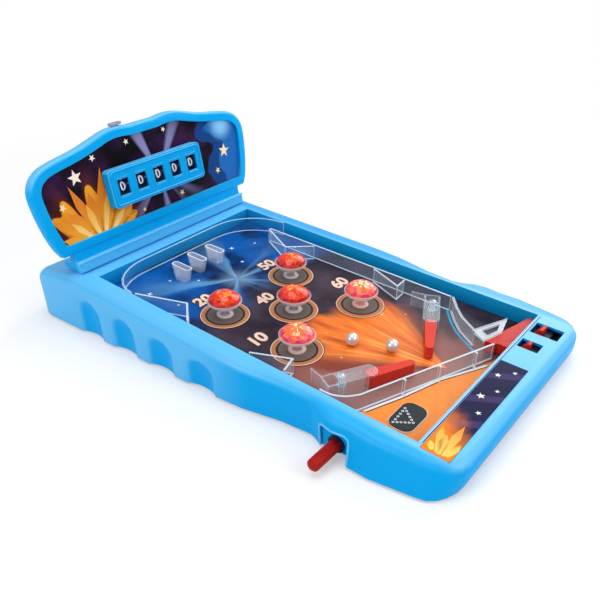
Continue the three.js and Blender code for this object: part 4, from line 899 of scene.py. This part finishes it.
def scattered(number, cap, perNumber, perCap, spread):
    # A share from 0 to 1 that looks random from facet to facet
    return (math.sin(number * perNumber + cap * perCap) * spread) % 1.0


for i, centre in enumerate(bumpers["centres"]):
    shape = bmesh.new()
    lathed(shape, centre, capLook["dome"], capLook["steps"], 0.5)
    bmesh.ops.triangulate(shape, faces=[face for face in shape.faces if len(face.verts) == 4])
    layer = shape.loops.layers.color.new("facet")
    for number, face in enumerate(shape.faces):
        middle = face.calc_center_median()
        reach = (middle.xy - Vector(centre)).length / capLook["radius"]
        tint = scattered(number, i, *capLook["tints"])
        spot = scattered(number, i, *capLook["spots"])
        # Facets near the middle, and a random share of them, carry the painted glints
        heart = max(0.0, 1.1 - reach) * (1.0 if spot > capLook["brightFrom"] else capLook["dim"])
        for loop in face.loops:
            loop[layer] = (min(1.0, 0.55 * reach + 0.55 * tint), heart, spot, 1)
    cap = meshPiece(f"bumperJewel{i + 1}", shape, fieldMatrix, "cabinet",
                    "litCap" if bumpers["lit"][i] else "cap")
    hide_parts(f"bumper_cap_{i + 1}")
    # The post's rounded edges take the rim's paler, more solid material, a painted highlight along them
    softened(f"bumper_post_{i + 1}", 0.25, "cup", 40, edge="cupRim")
    for part in ("rim", "foot"):
        shape = bmesh.new()
        lathed(shape, centre, capLook[part] + capLook[part][:1], 36)
        bmesh.ops.remove_doubles(shape, verts=shape.verts, dist=0.001)
        name = f"bumper{part.title()}{i + 1}"
        meshPiece(name, shape, fieldMatrix, "cabinet", "cupRim", 40)
print("bumpers dressed")

# Flippers, buttons and launcher

for side in ("left", "right"):
    softened(f"{side}_flipper", 0.8, "red", 34, 3)
    softened(f"{side}_button", 0.35, "rod", 34)
buttonLook = {"y": -141.5, "z": -9.2, "radius": 4.78, "rings": (128.5, 131.0, 133.5), "half": 0.3}
buttonMatrix = (fieldMatrix @ Matrix.Translation((0, buttonLook["y"], buttonLook["z"]))
                @ Matrix.Rotation(math.pi / 2, 4, "Y"))
for side, sign in (("left", -1), ("right", 1)):
    shape = bmesh.new()
    for reach in buttonLook["rings"]:
        addRing(shape, (0, 0), buttonLook["radius"] - 0.5, buttonLook["radius"] + 0.1,
                sign * reach - buttonLook["half"], sign * reach + buttonLook["half"], 40)
    meshPiece(f"{side}ButtonRings", shape, buttonMatrix, f"{side}_button", "rod", 40)
softened("launcher_lever", 0.5, "lever", 34)
softened("power_switch", 0.3)

ballRadius = 5.48
for i in (1, 2):
    shape = bmesh.new()
    low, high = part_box(f"ball_{i}")
    middle = (low + high) / 2
    bmesh.ops.create_icosphere(shape, subdivisions=4, radius=ballRadius)
    ball = meshPiece(f"steelBall{i}", shape, Matrix.Translation(middle) @ millimetres, f"ball_{i}",
                     "ball", 180)
    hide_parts(f"ball_{i}")
print("moving parts dressed")

# Backboard

# The rounded edges of the frame and of the bezel get the lighter blue, a painted highlight
softened("backboard_frame", 0.7, "blue", 30, 3, edge="rimBlue")
softened("backboard_rear_cover", 0.8, "blue", 30, 3)
softened("score_bezel", 0.8, "blue", 34, 3, edge="rimBlue")
recoloured("backboard_panel", "panel")
recoloured("apron_label", "label")

# A lip along the ledge below the card, in the lighter blue: a painted highlight along its top
ledge = {"x": 107.6, "y": -1.9, "z": 10.7, "radius": 1.25}
line = [(sign * ledge["x"], ledge["y"], ledge["z"]) for sign in (-1, 1)]
bead("ledgeLip", line, ledge["radius"], backboardMatrix, "rimBlue")

# Spikes are given as turn, start, end and width; stars as place, size and turn
cardPrint = {
    "front": -3.02, "thickness": 0.04,
    "root": (-72.0, 16.0),
    "spikes": [(-66, 18, 44, 10), (-50, 14, 58, 9), (-36, 14, 50, 13), (-19, 13, 66, 9), (-4, 13, 52, 13),
               (12, 13, 72, 9), (27, 14, 47, 13), (41, 14, 51, 9), (55, 15, 50, 11), (67, 18, 46, 8)],
    "bright": [(-43, 15, 42, 6), (-12, 13, 44, 7), (19, 13, 50, 7), (48, 15, 42, 6)],
    "stars": [((-84, 84), 7.5, 0.1), ((-104, 62), 4.0, 0.6), ((-62, 96), 3.6, 0.5), ((98, 62), 7.5, -0.2),
              ((84, 44), 3.8, 0.3), ((-22, 101), 3.2, 0.2), ((24, 102), 2.8, 0.7), ((30, 36), 3.4, 0.4),
              ((-20, 34), 2.6, 0.1)],
    "layers": [("cardSpikes", "spikes", 0.05, "cardFlame"), ("cardBrightSpikes", "bright", 0.12, "cardGlow"),
               ("cardStars", "stars", 0.19, "cardStar")],
}
for name, kind, layer, ink in cardPrint["layers"]:
    if kind == "stars":
        outlines = [star(place, size, turn=turn) for place, size, turn in cardPrint[kind]]
    else:
        outlines = [spike(cardPrint["root"], *one) for one in cardPrint[kind]]
    low = cardPrint["front"] + layer
    slabPiece(name, outlines, low, low + cardPrint["thickness"], backboardMatrix, "printed_label", ink)


def roundedLoop(centre, half, corner, y, steps):
    # Points round an upright rectangle with rounded corners
    points = []
    for i, (sx, sz) in enumerate(((1, 1), (-1, 1), (-1, -1), (1, -1))):
        for step in range(steps + 1):
            turn = math.pi / 2 * (i + step / steps)
            points.append((centre[0] + sx * (half[0] - corner) + corner * math.cos(turn), y,
                           centre[1] + sz * (half[1] - corner) + corner * math.sin(turn)))
    return points


wheels = {"x": (-42.6, -21.3, 0.0, 21.3, 42.6), "height": 64.0, "depth": 3.6, "radius": 8.3,
          "figures": 5, "size": 12.0}
bezelLook = {"half": (54.4, 15.8), "corner": 4.0, "y": -6.85, "lip": 0.75,
             "window": (6.6, 9.3), "windowCorner": 0.8, "windowY": -6.9, "windowLip": 0.4}
line = roundedLoop((0, wheels["height"]), bezelLook["half"], bezelLook["corner"], bezelLook["y"], 6)
bead("bezelLip", line, bezelLook["lip"], backboardMatrix, "blue", True)
for i, x in enumerate(wheels["x"]):
    line = roundedLoop((x, wheels["height"]), bezelLook["window"], bezelLook["windowCorner"],
                       bezelLook["windowY"], 3)
    bead(f"windowLip{i + 1}", line, bezelLook["windowLip"], backboardMatrix, "blue", True)

# Depths are counted towards the front, so what is on the rear cover lies at minus 14
rearCover = {
    "screws": [(-108, 34), (0, 34), (108, 34), (-104, 86), (0, 106), (104, 86)],
    "rim": (2.4, 4.4, -14.9, -14.0), "screwRadius": 2.1, "screwDepth": (-14.55, -14.1),
    "ribs": {"x": 26.0, "z": (50, 86), "count": 9, "half": 0.7, "depth": (-14.8, -14.2)},
}
ringPiece("rearScrewRims", rearCover["screws"], rearCover["rim"], 28, backboardMatrix,
          "blue", 40)
# A star with a full waist is a disc
outlines = [star(place, rearCover["screwRadius"], 10, 1.0, -math.pi / 2) for place in rearCover["screws"]]
slabPiece("rearScrews", outlines, *rearCover["screwDepth"], backboardMatrix, "blue_plastic", "steel", 40)
ribs = rearCover["ribs"]
outlines = [rectangle(-ribs["x"], z - ribs["half"], ribs["x"], z + ribs["half"])
            for z in spaced(*ribs["z"], ribs["count"])]
slabPiece("rearRibs", outlines, *ribs["depth"], backboardMatrix, "blue_plastic", "blue")

switchLook = {"x": (-31, -23), "count": 5, "half": 0.4, "z": (119.95, 120.5), "depth": (-7.3, -3.8)}
low, high = switchLook["z"]
outlines = [rectangle(x - switchLook["half"], low, x + switchLook["half"], high)
            for x in spaced(*switchLook["x"], switchLook["count"])]
slabPiece("switchRidges", outlines, *switchLook["depth"], backboardMatrix, "grey_plastic", "grey",
          body="power_switch")

for i, x in enumerate(wheels["x"]):
    softened(f"score_wheel_{i + 1}", 0.3, "navy", 40)
    shape = bmesh.new()
    for figure in range(wheels["figures"]):
        mesh = numberMesh(str(figure), wheels["size"], 0.25, 0.06)
        for vertex in mesh.vertices:
            turn = vertex.co.y / wheels["radius"] - math.tau * figure / wheels["figures"]
            reach = wheels["radius"] + 0.06 + vertex.co.z
            vertex.co = (x + vertex.co.x * 0.95, wheels["depth"] - reach * math.cos(turn),
                         wheels["height"] + reach * math.sin(turn))
        shape.from_mesh(mesh)
        bpy.data.meshes.remove(mesh)
    meshPiece(f"scoreFigures{i + 1}", shape, backboardMatrix, f"score_wheel_{i + 1}", "white")
print("backboard dressed")

# Apron card

apronCard = {
    "level": (15.02, 15.05), "root": (-112, -214),
    "flames": [(56, 15, 24, 5), (70, 13, 40, 6), (77, 12, 32, 7), (88, 12, 46, 6), (100, 13, 28, 5)],
    "stars": [((-30, -206), 3.4), ((-18, -213), 2.0), ((0, -205), 2.6), ((10, -214), 2.0),
              ((-48, -213), 2.4)],
}
outlines = [spike(apronCard["root"], *flame) for flame in apronCard["flames"]]
slabPiece("apronFlames", outlines, *apronCard["level"], fieldMatrix, "printed_label", "labelFlame")
outlines = [star(place, size, turn=place[0] * 0.2) for place, size in apronCard["stars"]]
slabPiece("apronStars", outlines, *apronCard["level"], fieldMatrix, "printed_label", "white")

# Everything else keeps its shape and gets its finish

for name in nodes:
    if name not in dressed:
        recoloured(name, slotMaterial[slotOf[name]])

# Floor

floorLook = {"size": 9.0, "colour": (0.93, 0.935, 0.94), "cloud": 0.985, "fade": (0.25, 0.95), "haze": 0.35}
shape = bmesh.new()
bmesh.ops.create_grid(shape, x_segments=1, y_segments=1, size=floorLook["size"] / 2)
mesh = bpy.data.meshes.new("floor")
shape.to_mesh(mesh)
shape.free()
floor = bpy.data.objects.new("floor", mesh)
scene.collection.objects.link(floor)
floorMaterial, tree, shader = newMaterial("paleFloor", 0.7, 0.1)
darker = tuple(c * floorLook["cloud"] for c in floorLook["colour"])
painted(shader, mixed(grain(shader, 8.0, 0.02), darker, floorLook["colour"]))
# The camera sees the floor turn into the white backdrop, and the shadow beside the game stays
far = addNode(tree, "ShaderNodeVectorMath", {0: objectPlace(tree)}, operation="LENGTH").outputs["Value"]
fade = scaled(ramped(far, *floorLook["fade"]), 1 - floorLook["haze"], floorLook["haze"])
sight = addNode(tree, "ShaderNodeLightPath").outputs["Is Camera Ray"]
white = addNode(tree, "ShaderNodeEmission", {"Color": (1.0, 1.0, 1.0, 1.0)})
blend = addNode(tree, "ShaderNodeMixShader",
                {0: times(fade, sight), 1: shader.outputs[0], 2: white.outputs[0]})
tree.links.new(blend.outputs[0], tree.nodes["Material Output"].inputs["Surface"])
mesh.materials.append(floorMaterial)
print("floor laid")
